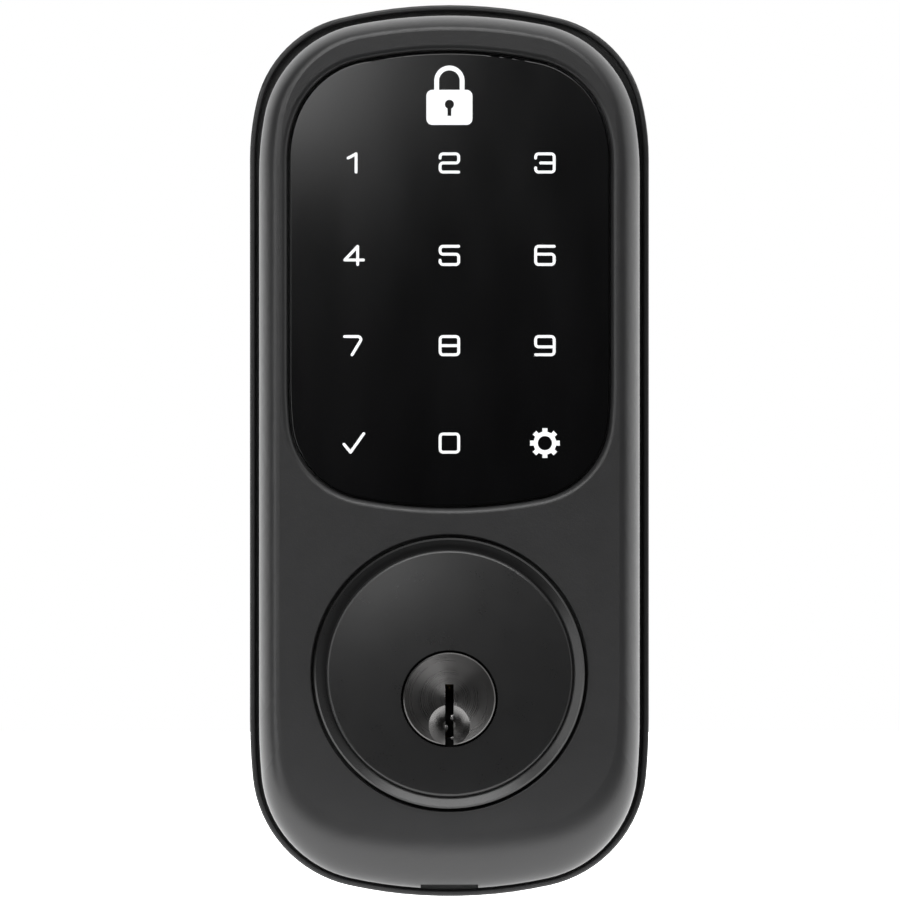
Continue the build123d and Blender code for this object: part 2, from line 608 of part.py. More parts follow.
KEY_PIN_TOP = PLUG_R - 0.2
for number, (y, tip) in enumerate(zip(CHAMBERS, PIN_TIPS), start=1):
    with BuildPart() as key_pin:
        with Locations((0, y, tip)):
            Cone(0.5, PIN_R, 1.0, align=(Align.CENTER, Align.CENTER, Align.MIN))
        upright(PIN_R, tip + 1.0, KEY_PIN_TOP, 0, y)
    key_pin.part.label = f"key_pin_{number}"
    export_step(key_pin.part, f"parts/key_pin_{number}.step")

    with BuildPart() as driver_pin:
        upright(PIN_R, DRIVER_FOOT, DRIVER_TOP, 0, y)
        chamfer(driver_pin.edges().sort_by(Axis.Z)[0], 0.2)
    driver_pin.part.label = f"driver_pin_{number}"
    export_step(driver_pin.part, f"parts/driver_pin_{number}.step")

    with BuildPart() as pin_spring:
        wire_r = 0.15
        coil_foot = DRIVER_TOP + wire_r
        coil_height = SPRING_TOP - DRIVER_TOP - 2 * wire_r
        with BuildLine() as coil:
            Helix(coil_height / 6, coil_height, PIN_R - 0.3, center=(0, y, coil_foot))
        with BuildSketch(Plane(origin=coil.line @ 0, z_dir=coil.line % 0)):
            Circle(wire_r)
        sweep(path=coil.line, is_frenet=True)
    pin_spring.part.label = f"pin_spring_{number}"
    export_step(pin_spring.part, f"parts/pin_spring_{number}.step")

# ---- plug cap and tailpiece, with lost motion between their lugs ----
CAP_BACK = STEM_END + 4.8
with BuildPart() as plug_cap:
    rod(PLUG_HEAD_R, 3.2, CAP_BACK)
    rod(PLUG_R, 3.2, CAP_BACK - 0.8, mode=Mode.SUBTRACT)
    rod(BLADE[1] / 2 + 0.7, 3.2, CAP_BACK, mode=Mode.SUBTRACT)
plug_cap.part.label = "plug_cap"
export_step(plug_cap.part, "parts/plug_cap.step")

BLADE_TIP = DOOR + 19.0
with BuildPart() as tailpiece:
    rod(LUG_R, STEM_END + 2.1, STEM_END + 3.8)
    extrude(lug_face(STEM_END + 0.1, 180.0), amount=-2.0)
    block((-BLADE[0] / 2, BLADE[0] / 2), (STEM_END + 3.8, BLADE_TIP), (-BLADE[1] / 2, BLADE[1] / 2))
tailpiece.part.label = "tailpiece"
export_step(tailpiece.part, "parts/tailpiece.step")

# ---- indoor mounting plate and through bolts ----
CHASSIS_SCREWS = [(side * x, z) for side in (-1, 1) for x, z in ((23.5, -13.0), (18.0, RISE - 14.6))]
with BuildPart() as mounting_plate:
    slab(BASE, -DOOR - ROOM_PLATE, -DOOR, trim=PLATE_TRIM)
    rod(9.5, DOOR, CHASSIS_Y, mode=Mode.SUBTRACT)
    rod(3.6, DOOR, CHASSIS_Y, CABLE_X, CABLE_Z, Mode.SUBTRACT)
    for x in (-POST_X, POST_X):
        rod(BOLT_R + 0.6, DOOR, CHASSIS_Y, x, 0, Mode.SUBTRACT)
    for x, z in CHASSIS_SCREWS:
        rod(1.55, DOOR, CHASSIS_Y, x, z, Mode.SUBTRACT)
mounting_plate.part.label = "mounting_plate"
export_step(mounting_plate.part, "parts/mounting_plate.step")

with BuildPart() as through_bolts:
    for x in (-POST_X, POST_X):
        pan_screw(x, 0, CHASSIS_Y, 1.8, -4.0, 3.8, BOLT_R)
through_bolts.part.label = "through_bolts"
export_step(through_bolts.part, "parts/through_bolts.step")

# ---- indoor chassis ----
GEAR_POSTS = ((-16.0, -14.0), (16.0, -14.0), (-21.0, 12.0), (24.0, 32.0), (4.0, 33.0))
TRAY_X = 28.5
BUTTON_Z = BAY_TOP + 8.4
DECK_TOP = BUTTON_Z + 6.0
with BuildPart() as interior_chassis:
    slab(BASE, -CHASSIS_Y - 2.0, -CHASSIS_Y, trim=CHASSIS_TRIM)
    for z in (BAY_FOOT - 1.6, BAY_TOP):
        block((-TRAY_X, TRAY_X), (CHASSIS_Y + 2, CELL_Y + 5.5), (z, z + 1.6))
    block((-TRAY_X, TRAY_X), (TRAY_Y - 1.6, TRAY_Y), (BAY_FOOT, BAY_TOP))
    for x in (-CELL_PITCH, 0, CELL_PITCH):
        block((x - 0.6, x + 0.6), (TRAY_Y, TRAY_Y + 2.2), (BAY_FOOT, BAY_TOP))
    block((-14, 14), (TRAY_Y - 1.6, TRAY_Y), (BAY_TOP + 1.6, DECK_TOP))
    for x in (-12, 12):
        rod(1.9, CHASSIS_Y + 2, TRAY_Y - 1.6, x, DECK_TOP - 2)
    for x, z in GEAR_POSTS:
        rod(2.2, CHASSIS_Y + 2, COVER_Y, x, z)
    for x in (-20, 20):
        for z in (50, 82):
            rod(2.4, CHASSIS_Y + 2, BOARD_Y, x, z)
    block((-19, -9), (CHASSIS_Y + 2, CABLE_ROOM_Y + 2), (BAY_FOOT - 1.6, BAY_FOOT), Mode.SUBTRACT)
    block((-10, 10), (CHASSIS_Y + 2, BOARD_Y + 2.4), (BAY_TOP, BAY_TOP + 1.6), Mode.SUBTRACT)
    rod(2.55, TRAY_Y - 1.6, TRAY_Y, 0, BUTTON_Z, Mode.SUBTRACT)
    rod(SHAFT_R + SHAFT_PLAY, CHASSIS_Y, CHASSIS_Y + 2, mode=Mode.SUBTRACT)
    rod(3.0, CHASSIS_Y, CHASSIS_Y + 2, CABLE_X, CABLE_Z, Mode.SUBTRACT)
    rod(1.5, CHASSIS_Y, CHASSIS_Y + 2, IDLER_X, IDLER_Z, Mode.SUBTRACT)
    for x in (-POST_X, POST_X):
        rod(4.3, CHASSIS_Y, CHASSIS_Y + 2, x, 0, Mode.SUBTRACT)
    for x, z in CHASSIS_SCREWS:
        rod(1.6, CHASSIS_Y, CHASSIS_Y + 2, x, z, Mode.SUBTRACT)
    for x, z in GEAR_POSTS:
        rod(0.95, COVER_Y - 6, COVER_Y, x, z, Mode.SUBTRACT)
interior_chassis.part.label = "interior_chassis"
export_step(interior_chassis.part, "parts/interior_chassis.step")

with BuildPart() as chassis_screws:
    for x, z in CHASSIS_SCREWS:
        pan_screw(x, z, CHASSIS_Y + 2, 1.7, DOOR + 0.3, 2.6, 1.5)
chassis_screws.part.label = "chassis_screws"
export_step(chassis_screws.part, "parts/chassis_screws.step")

# ---- main board and what is on it ----
SWITCH_H = 2.2
with BuildPart() as main_circuit_board:
    block((-25, 25), (BOARD_Y, BOARD_Y + BOARD), (BAY_FOOT + 2, BAY_TOP - 2.6))
    block((-8.5, 8.5), (BOARD_Y, BOARD_Y + BOARD), (BAY_TOP - 2.6, BUTTON_Z + 4.4))
main_circuit_board.part.label = "main_circuit_board"
export_step(main_circuit_board.part, "parts/main_circuit_board.step")

MAIN_PARTS = ((-8.0, 66.0, 10.0, 10.0, 1.2), (6.0, 58.0, 7.0, 5.0, 1.1), (16.0, 50.0, 6.0, 6.0, 2.4))
with BuildPart() as main_board_parts:
    top = BOARD_Y + BOARD
    for x, z, wide, tall, thick in MAIN_PARTS:
        block((x - wide / 2, x + wide / 2), (top, top + thick), (z - tall / 2, z + tall / 2))
    for step in range(5):
        block((-19.5 + 4 * step, -18 + 4 * step), (top, top + 0.8), (77, 77.9))
    rod(2.4, top, top + 3.4, -20.0, 60.0)
    rod(2.4, top, top + 3.4, -20.0, 68.0)
    block((CABLE_X - 4.5, CABLE_X + 4.5), (top, top + 4.0), (SOCKET_Z, SOCKET_Z + 5))
    block((-3, 3), (top, top + SWITCH_H), (BUTTON_Z - 3, BUTTON_Z + 3))
main_board_parts.part.label = "main_board_parts"
export_step(main_board_parts.part, "parts/main_board_parts.step")

with BuildPart() as radio_module:
    block((4, 22), (BOARD_Y + BOARD, BOARD_Y + BOARD + 2.6), (68, 82))
radio_module.part.label = "radio_module"
export_step(radio_module.part, "parts/radio_module.step")

with BuildPart() as reset_button:
    rod(3.4, TRAY_Y - 2.7, TRAY_Y - 1.65, 0, BUTTON_Z)
    rod(2.5, TRAY_Y - 1.65, TRAY_Y + 1.6, 0, BUTTON_Z)
    fillet(reset_button.edges().sort_by(Axis.Y)[-1], 0.4)
reset_button.part.label = "reset_button"
export_step(reset_button.part, "parts/reset_button.step")

# ---- batteries, springs and contacts: every second cell is upside down ----
CELLS = [(CELL_PITCH * (i - 1.5), i % 2) for i in range(4)]
CONTACT = 0.4
NUB = 1.3
COIL = BAY_LENGTH - 2 * CONTACT - CELL_LENGTH
with BuildPart() as batteries:
    for x, flipped in CELLS:
        if flipped:
            upright(2.6, BAY_FOOT + CONTACT, BAY_FOOT + CONTACT + NUB, x, CELL_Y)
            upright(CELL_R, BAY_FOOT + CONTACT + NUB, BAY_TOP - CONTACT - COIL, x, CELL_Y)
        else:
            upright(CELL_R, BAY_FOOT + CONTACT + COIL, BAY_TOP - CONTACT - NUB, x, CELL_Y)
            upright(2.6, BAY_TOP - CONTACT - NUB, BAY_TOP - CONTACT, x, CELL_Y)
batteries.part.label = "batteries"
export_step(batteries.part, "parts/batteries.step")

with BuildPart() as battery_contacts:
    for x, flipped in CELLS:
        for z in (BAY_FOOT, BAY_TOP - CONTACT):
            block((x - 5, x + 5), (CELL_Y - 5, CELL_Y + 5), (z, z + CONTACT))
battery_contacts.part.label = "battery_contacts"
export_step(battery_contacts.part, "parts/battery_contacts.step")

with BuildPart() as battery_springs:
    for x, flipped in CELLS:
        foot = BAY_TOP - CONTACT - COIL if flipped else BAY_FOOT + CONTACT
        with BuildLine() as turns:
            Helix((COIL - 0.7) / 3, COIL - 0.7, 3.2, center=(x, CELL_Y, foot + 0.35))
        with BuildSketch(Plane(origin=turns.line @ 0, z_dir=turns.line % 0)):
            Circle(0.32)
        sweep(path=turns.line, is_frenet=True)
battery_springs.part.label = "battery_springs"
export_step(battery_springs.part, "parts/battery_springs.step")


# ---- gear train ----
def involute(angle):
    """Involute function of a pressure angle."""
    return math.tan(angle) - angle


def gear_face(teeth, y, x, z, turn_deg):
    """Toothed face at depth y, with one tooth centred on turn_deg."""
    pitch_r = MODULE * teeth / 2
    base_r = pitch_r * math.cos(PRESSURE)
    root_r = pitch_r - 1.25 * MODULE
    tip_r = pitch_r + MODULE
    half = math.pi / (2 * teeth) - BACKLASH / (4 * pitch_r) + involute(PRESSURE)
    start_r = max(base_r, root_r)
    flank = []
    for r in (start_r, (start_r + tip_r) / 2, tip_r):
        flank.append((r, half - involute(math.acos(min(1.0, base_r / r)))))
    with BuildSketch(front(-y)) as face:
        with BuildLine():
            for tooth in range(teeth):
                middle = math.radians(turn_deg) + 2 * math.pi * tooth / teeth
                sides = []
                for sign in (-1, 1):
                    angles = [(r, middle + sign * a) for r, a in flank]
                    sides.append([(x + r * math.cos(a), z + r * math.sin(a)) for r, a in angles])
                    ThreePointArc(*sides[-1])
                Line(sides[0][-1], sides[1][-1])
                root = [middle + flank[0][1], middle + 2 * math.pi / teeth - flank[0][1]]
                floor = [(x + root_r * math.cos(a), z + root_r * math.sin(a)) for a in root]
                if root_r < base_r:
                    Line(sides[1][0], floor[0])
                    tail = root[1]
                    Line(floor[1], (x + start_r * math.cos(tail), z + start_r * math.sin(tail)))
                Line(floor[0], floor[1])
        make_face()
    return face.sketch


with BuildPart() as output_gear:
    extrude(gear_face(OUTPUT_TEETH, GEAR_Y, 0, 0, IDLER_TURN), amount=-4.0)
    with BuildSketch(front(-GEAR_Y)):
        Circle(SHAFT_R)
        with Locations((0, 5.2 + 5)):
            Rectangle(20, 10, mode=Mode.SUBTRACT)
    extrude(amount=-4.0, mode=Mode.SUBTRACT)
output_gear.part.label = "output_gear"
export_step(output_gear.part, "parts/output_gear.step")

with BuildPart() as idler_gear:
    small_turn = IDLER_TURN + 180 + 180 / SMALL_TEETH
    extrude(gear_face(SMALL_TEETH, GEAR_Y, IDLER_X, IDLER_Z, small_turn), amount=GEAR_Y - WHEEL_Y)
    extrude(gear_face(WHEEL_TEETH, WHEEL_Y, IDLER_X, IDLER_Z, PINION_TURN), amount=-3.0)
    rod(1.55, GEAR_Y, WHEEL_Y + 3, IDLER_X, IDLER_Z, Mode.SUBTRACT)
idler_gear.part.label = "idler_gear"
export_step(idler_gear.part, "parts/idler_gear.step")

with BuildPart() as idler_axle:
    rod(1.5, CHASSIS_Y, COVER_Y + 1, IDLER_X, IDLER_Z)
idler_axle.part.label = "idler_axle"
export_step(idler_axle.part, "parts/idler_axle.step")

with BuildPart() as motor_pinion:
    pinion_phase = PINION_TURN + 180 + 180 / SMALL_TEETH
    extrude(gear_face(SMALL_TEETH, WHEEL_Y, MOTOR_X, MOTOR_Z, pinion_phase), amount=-3.0)
    rod(1.0, WHEEL_Y - 0.4, COVER_Y + 4, MOTOR_X, MOTOR_Z)
motor_pinion.part.label = "motor_pinion"
export_step(motor_pinion.part, "parts/motor_pinion.step")

with BuildPart() as motor:
    rod(7.8, COVER_Y + 1, COVER_Y + 15.6, MOTOR_X, MOTOR_Z)
    rod(3.0, COVER_Y + 15.6, COVER_Y + 16.4, MOTOR_X, MOTOR_Z)
    for z in (MOTOR_Z - 9.2, MOTOR_Z + 6.2):
        block((MOTOR_X - 8, MOTOR_X + 8), (COVER_Y + 1, COVER_Y + 16), (z, z + 3), Mode.SUBTRACT)
    rod(1.05, COVER_Y + 1, COVER_Y + 4.2, MOTOR_X, MOTOR_Z, Mode.SUBTRACT)
motor.part.label = "motor"
export_step(motor.part, "parts/motor.step")

with BuildPart() as gear_cover:
    with BuildSketch(front(-COVER_Y)):
        with BuildLine():
            Polyline(*[GEAR_POSTS[n] for n in (0, 1, 3, 4, 2)], close=True)
        make_face()
        offset(amount=3.0, kind=Kind.ARC)
        with Locations(*GEAR_POSTS):
            Circle(1.0, mode=Mode.SUBTRACT)
        Circle(SHAFT_R + 0.5, mode=Mode.SUBTRACT)
        with Locations((IDLER_X, IDLER_Z)):
            Circle(1.5, mode=Mode.SUBTRACT)
        with Locations((MOTOR_X, MOTOR_Z)):
            Circle(2.0, mode=Mode.SUBTRACT)
    extrude(amount=-1.0)
gear_cover.part.label = "gear_cover"
export_step(gear_cover.part, "parts/gear_cover.step")

with BuildPart() as gear_cover_screws:
    for x, z in GEAR_POSTS:
        pan_screw(x, z, COVER_Y + 1, 1.2, COVER_Y - 5, 1.8, 0.9)
gear_cover_screws.part.label = "gear_cover_screws"
export_step(gear_cover_screws.part, "parts/gear_cover_screws.step")

# ---- thumbturn ----
CLIP_Y = CHASSIS_Y - 0.85
with BuildPart() as thumbturn:
    rod(SHAFT_R, DOOR + 0.8, ROOM_FRONT + 0.4)
    block((-7, 7), (GEAR_Y, GEAR_Y + 4), (5.2, 7), Mode.SUBTRACT)
    rod(SHAFT_R + 1, CLIP_Y, CLIP_Y + 0.75, mode=Mode.SUBTRACT)
    rod(5.0, CLIP_Y, CLIP_Y + 0.75)
    rod(14.0, ROOM_FRONT + 0.4, ROOM_FRONT + 3.2)
    fillet(thumbturn.edges().sort_by(Axis.Y)[-1], 0.8)
    with BuildSketch(front(-ROOM_FRONT - 3.0)):
        SlotOverall(27, 7.4, rotation=90)
    extrude(amount=-15.0, taper=5)
    fillet(thumbturn.edges().group_by(Axis.Y)[-1], 1.2)
    slot_x = BLADE[0] / 2 + 0.2
    slot_z = BLADE[1] / 2 + 0.3
    block((-slot_x, slot_x), (DOOR + 0.8, BLADE_TIP + 2), (-slot_z, slot_z), Mode.SUBTRACT)
thumbturn.part.label = "thumbturn"
export_step(thumbturn.part, "parts/thumbturn.step")

with BuildPart() as retaining_clip:
    rod(8.0, CLIP_Y + 0.05, CLIP_Y + 0.7)
    rod(5.0, CLIP_Y + 0.05, CLIP_Y + 0.7, mode=Mode.SUBTRACT)
    block((-3.2, 3.2), (CLIP_Y, CLIP_Y + 1), (-9, 0), Mode.SUBTRACT)
retaining_clip.part.label = "retaining_clip"
export_step(retaining_clip.part, "parts/retaining_clip.step")

# ---- indoor covers ----
with BuildPart() as room_form:
    slab(BASE, -ROOM_FRONT, -DOOR - 0.2, trim=ROOM_TRIM)
    fillet(room_form.faces().sort_by(Axis.Y)[-1].outer_wire().edges(), 3.0)
    slab(BASE, ROOM_WALL - ROOM_FRONT, -DOOR - 0.2, trim=ROOM_TRIM + ROOM_WALL, mode=Mode.SUBTRACT)

with BuildPart() as interior_cover:
    add(room_form.part)
    block((-WIDTH, WIDTH), (DOOR + SPLIT_Y, ROOM_FRONT), (SPLIT_Z, RISE + 10), Mode.SUBTRACT)
    rod(SHAFT_R + 0.1, ROOM_FRONT - ROOM_WALL, ROOM_FRONT, mode=Mode.SUBTRACT)
interior_cover.part.label = "interior_cover"
export_step(interior_cover.part, "parts/interior_cover.step")

with BuildPart() as battery_cover:
    add(room_form.part)
    keep = ((-WIDTH, WIDTH), (DOOR + SPLIT_Y + 0.1, ROOM_FRONT), (SPLIT_Z + 0.2, RISE + 10))
    block(*keep, mode=Mode.INTERSECT)
    for step in range(4):
        z = SPLIT_Z + 8 + 2.4 * step
        block((-9, 9), (ROOM_FRONT - 0.6, ROOM_FRONT), (z, z + 1.1), Mode.SUBTRACT)
battery_cover.part.label = "battery_cover"
export_step(battery_cover.part, "parts/battery_cover.step")
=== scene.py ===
"""Keypad smart lock: finishes, detailed pieces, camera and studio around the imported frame."""

import logging
import math
from dataclasses import dataclass
from enum import Enum

import bmesh
import bpy
from mathutils import Matrix, Vector

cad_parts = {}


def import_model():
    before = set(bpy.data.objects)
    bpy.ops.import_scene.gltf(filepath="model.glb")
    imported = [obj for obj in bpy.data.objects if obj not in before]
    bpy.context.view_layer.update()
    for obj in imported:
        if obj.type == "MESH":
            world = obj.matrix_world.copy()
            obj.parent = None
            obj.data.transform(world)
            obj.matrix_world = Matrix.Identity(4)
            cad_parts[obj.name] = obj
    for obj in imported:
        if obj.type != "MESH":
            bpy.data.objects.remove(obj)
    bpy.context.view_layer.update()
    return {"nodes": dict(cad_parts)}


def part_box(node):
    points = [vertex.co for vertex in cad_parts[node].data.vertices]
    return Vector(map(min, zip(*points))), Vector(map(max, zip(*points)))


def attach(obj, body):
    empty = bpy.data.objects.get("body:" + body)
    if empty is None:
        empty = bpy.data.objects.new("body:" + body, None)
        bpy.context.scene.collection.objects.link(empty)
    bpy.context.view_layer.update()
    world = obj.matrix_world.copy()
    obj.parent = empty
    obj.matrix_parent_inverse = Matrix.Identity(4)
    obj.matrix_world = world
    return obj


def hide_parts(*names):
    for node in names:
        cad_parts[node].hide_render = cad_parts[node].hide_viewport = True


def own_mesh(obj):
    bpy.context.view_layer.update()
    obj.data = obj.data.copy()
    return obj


LOG = logging.getLogger("keypad_lock")
MM = 0.001
WELD = 0.001 * MM
CREASE = math.radians(35)
WIRE_SIDES = 10
STEPS_PER_TURN = 26
NO_SHIFT = (0.0, 0.0, 0.0)
ACROSS, OUTWARD, UPWARD = (1.0, 0.0, 0.0), (0.0, 1.0, 0.0), (0.0, 0.0, 1.0)
MIX_FIRST, MIX_SECOND, MIX_RESULT = 6, 7, 2
# Painted shade: near-black put on the brass body's front, standing in for the shade in the narrow
# gap round the plug.
GAP_SHADE = (0.012, 0.012, 0.012)
Triple = tuple[float, float, float]
Colour = Triple


class Lay(Enum):
    """Direction of the tool marks on a machined or rolled surface."""

    TURNED = "rings about the Y axis"
    LENGTHWISE_Y = "lines along Y"
    LENGTHWISE_Z = "lines along Z"
    GROUND = "rings about the Z axis"
    ROLLED = "faint lines along X"


class Tree:
    """A material's node tree, with short ways to add and link nodes."""

    def __init__(self, name: str) -> None:
        """Starts a material with one Principled shader.

        Args:
            name: the material's name.
        """
        self.material = bpy.data.materials.new(name)
        self.material.use_nodes = True
        self.nodes = self.material.node_tree.nodes
        self.links = self.material.node_tree.links
        self.shader = self.nodes["Principled BSDF"]
        self.where = self.nodes.new("ShaderNodeTexCoord").outputs["Object"]

    def add(self, kind: str, **inputs: object) -> bpy.types.Node:
        """Adds a node and fills its named inputs.

        Args:
            kind: the node's class name.
            inputs: socket names, with _ for a space, and a value or an output socket for each.

        Returns:
            The new node.
        """
        node = self.nodes.new(kind)
        for key, value in inputs.items():
            self.feed(node.inputs[key.replace("_", " ")], value)
        return node

    def feed(self, socket: bpy.types.NodeSocket, value: object) -> None:
        """Links an output into a socket, or sets the socket's own value.

        Args:
            socket: the input to fill.
            value: an output socket, or the value itself.
        """
        if isinstance(value, bpy.types.NodeSocket):
            self.links.new(value, socket)
        else:
            socket.default_value = value

    def maths(self, step: str, first: object, second: object = 0.0) -> bpy.types.NodeSocket:
        """Joins two numbers by one operation.

        Args:
            step: the operation's name.
            first: a number or an output socket.
            second: a number or an output socket.

        Returns:
            The result's socket.
        """
        node = self.nodes.new("ShaderNodeMath")
        node.operation = step
        self.feed(node.inputs[0], first)
        self.feed(node.inputs[1], second)
        return node.outputs[0]

    def vector(self, step: str, first: object, second: object = NO_SHIFT) -> bpy.types.Node:
        """Adds a vector operation on two vectors.

        Args:
            step: the operation's name.
            first: a vector or an output socket.
            second: a vector or an output socket.

        Returns:
            The node.
        """
        node = self.nodes.new("ShaderNodeVectorMath")
        node.operation = step
        self.feed(node.inputs[0], first)
        self.feed(node.inputs[1], second)
        return node

    def noise(
        self, scale: float, detail: float = 3.0, stretch: Triple = (1.0, 1.0, 1.0)
    ) -> bpy.types.NodeSocket:
        """Noise in metres-wide object space.

        Args:
            scale: cells per metre.
            detail: octaves.
            stretch: how much finer the pattern is along each axis.

        Returns:
            The noise's value socket, about 0.5 on average.
        """
        place = self.add("ShaderNodeMapping", Vector=self.where, Scale=stretch)
        cloud = self.add("ShaderNodeTexNoise", Vector=place.outputs[0], Scale=scale, Detail=detail)
        return cloud.outputs[0]

    def spread(
        self, value: object, low: float, high: float, frm: float = 0.3, to: float = 0.7
    ) -> bpy.types.NodeSocket:
        """Maps one range of a value onto another.

        Args:
            value: a number or an output socket.
            low: the result where the value is frm.
            high: the result where the value is to.
            frm: start of the range read.
            to: end of the range read.

        Returns:
            The result's socket.
        """
        node = self.add("ShaderNodeMapRange", Value=value)
        node.inputs["From Min"].default_value = frm
        node.inputs["From Max"].default_value = to
        node.inputs["To Min"].default_value = low
        node.inputs["To Max"].default_value = high
        return node.outputs[0]

    def blend(self, factor: object, first: object, second: object) -> bpy.types.NodeSocket:
        """Mixes two colours.

        Args:
            factor: the second colour's share, a number or an output socket.
            first: a colour or an output socket.
            second: a colour or an output socket.

        Returns:
            The mixed colour's socket.
        """
        node = self.nodes.new("ShaderNodeMix")
        node.data_type = "RGBA"
        self.feed(node.inputs[0], factor)
        for socket, value in ((node.inputs[MIX_FIRST], first), (node.inputs[MIX_SECOND], second)):
            self.feed(socket, value if isinstance(value, bpy.types.NodeSocket) else (*value, 1.0))
        return node.outputs[MIX_RESULT]

    def bump(self, height: object, depth: float) -> None:
        """Raises the surface, on top of any bump already there.

        Args:
            height: the relief, a number or an output socket.
            depth: metres of relief for a height of 1.
        """
        node = self.add("ShaderNodeBump", Height=height, Distance=depth, Strength=1.0)
        before = self.shader.inputs["Normal"]
        if before.is_linked:
            self.links.new(before.links[0].from_socket, node.inputs["Normal"])
        self.links.new(node.outputs[0], before)

    def set(self, **values: object) -> None:
        """Sets or links the Principled shader's sockets.

        Args:
            values: socket names, with _ for a space, and what each takes.
        """
        for key, value in values.items():
            if isinstance(value, tuple) and len(value) == 3:
                value = (*value, 1.0)
            self.feed(self.shader.inputs[key.replace("_", " ")], value)


@dataclass(frozen=True)
class Paint:
    """Sprayed satin paint or fine moulded grain."""

    name: str
    colour: Colour
    roughness: float = 0.42
    grain: float = 3800.0
    depth: float = 0.000012
    mottle: float = 0.05

    def build(self) -> bpy.types.Material:
        """Builds the paint.

        Returns:
            The paint as a material.
        """
        tree = Tree(self.name)
        broad = tree.noise(45.0, 4.0)
        fine = tree.noise(self.grain, 2.0)
        dark = tuple(part * (1 - self.mottle) for part in self.colour)
        light = tuple(part * (1 + self.mottle) for part in self.colour)
        tree.set(
            Base_Color=tree.blend(tree.spread(broad, 0.0, 1.0), dark, light),
            Roughness=tree.maths(
                "ADD",
                tree.spread(tree.noise(220.0, 3.0), self.roughness - 0.015, self.roughness + 0.015),
                tree.spread(fine, -0.02, 0.02),
            ),
        )
        tree.bump(fine, self.depth)
        tree.bump(tree.noise(650.0, 2.0), self.depth * 1.5)
        return tree.material


@dataclass(frozen=True)
class Gloss:
    """Polished black window, with faint smears."""

    name: str
    colour: Colour
    roughness: float = 0.2
    crown: float = 1.1
    middle: float = 0.069

    def build(self) -> bpy.types.Material:
        """Builds the window; its slight crown is added to the shading.

        Returns:
            The window as a material.
        """
        tree = Tree(self.name)
        offset = tree.vector("SUBTRACT", tree.where, (0.0, 0.0, self.middle))
        flat = tree.vector("MULTIPLY", offset.outputs[0], (1.0, 0.0, 1.0))
        square = tree.vector("DOT_PRODUCT", flat.outputs[0], flat.outputs[0]).outputs["Value"]
        tree.bump(tree.maths("MULTIPLY", square, -self.crown), 1.0)
        smear = tree.noise(90.0, 5.0, (1.0, 1.0, 0.35))
        tree.set(
            Base_Color=tree.blend(
                tree.spread(smear, 0.0, 1.0), self.colour, tuple(1.5 * c for c in self.colour)
            ),
            Roughness=tree.spread(smear, self.roughness - 0.015, self.roughness + 0.03),
            IOR=1.49,
        )
        tree.bump(tree.noise(160.0, 1.0), 0.0000006)
        return tree.material


@dataclass(frozen=True)
class Legend:
    """White print lit from behind."""

    name: str
    colour: Colour = (0.86, 0.87, 0.87)
    glow: float = 0.30

    def build(self) -> bpy.types.Material:
        """Builds the print.

        Returns:
            The print as a material.
        """
        tree = Tree(self.name)
        speckle = tree.noise(2600.0, 2.0)
        tree.set(
            Base_Color=tree.blend(
                tree.spread(speckle, 0.0, 1.0), tuple(c * 0.94 for c in self.colour), self.colour
            ),
            Roughness=tree.spread(speckle, 0.28, 0.36),
            Emission_Color=(0.95, 0.97, 1.0),
            Emission_Strength=self.glow,
        )
        tree.bump(speckle, 0.000004)
        return tree.material


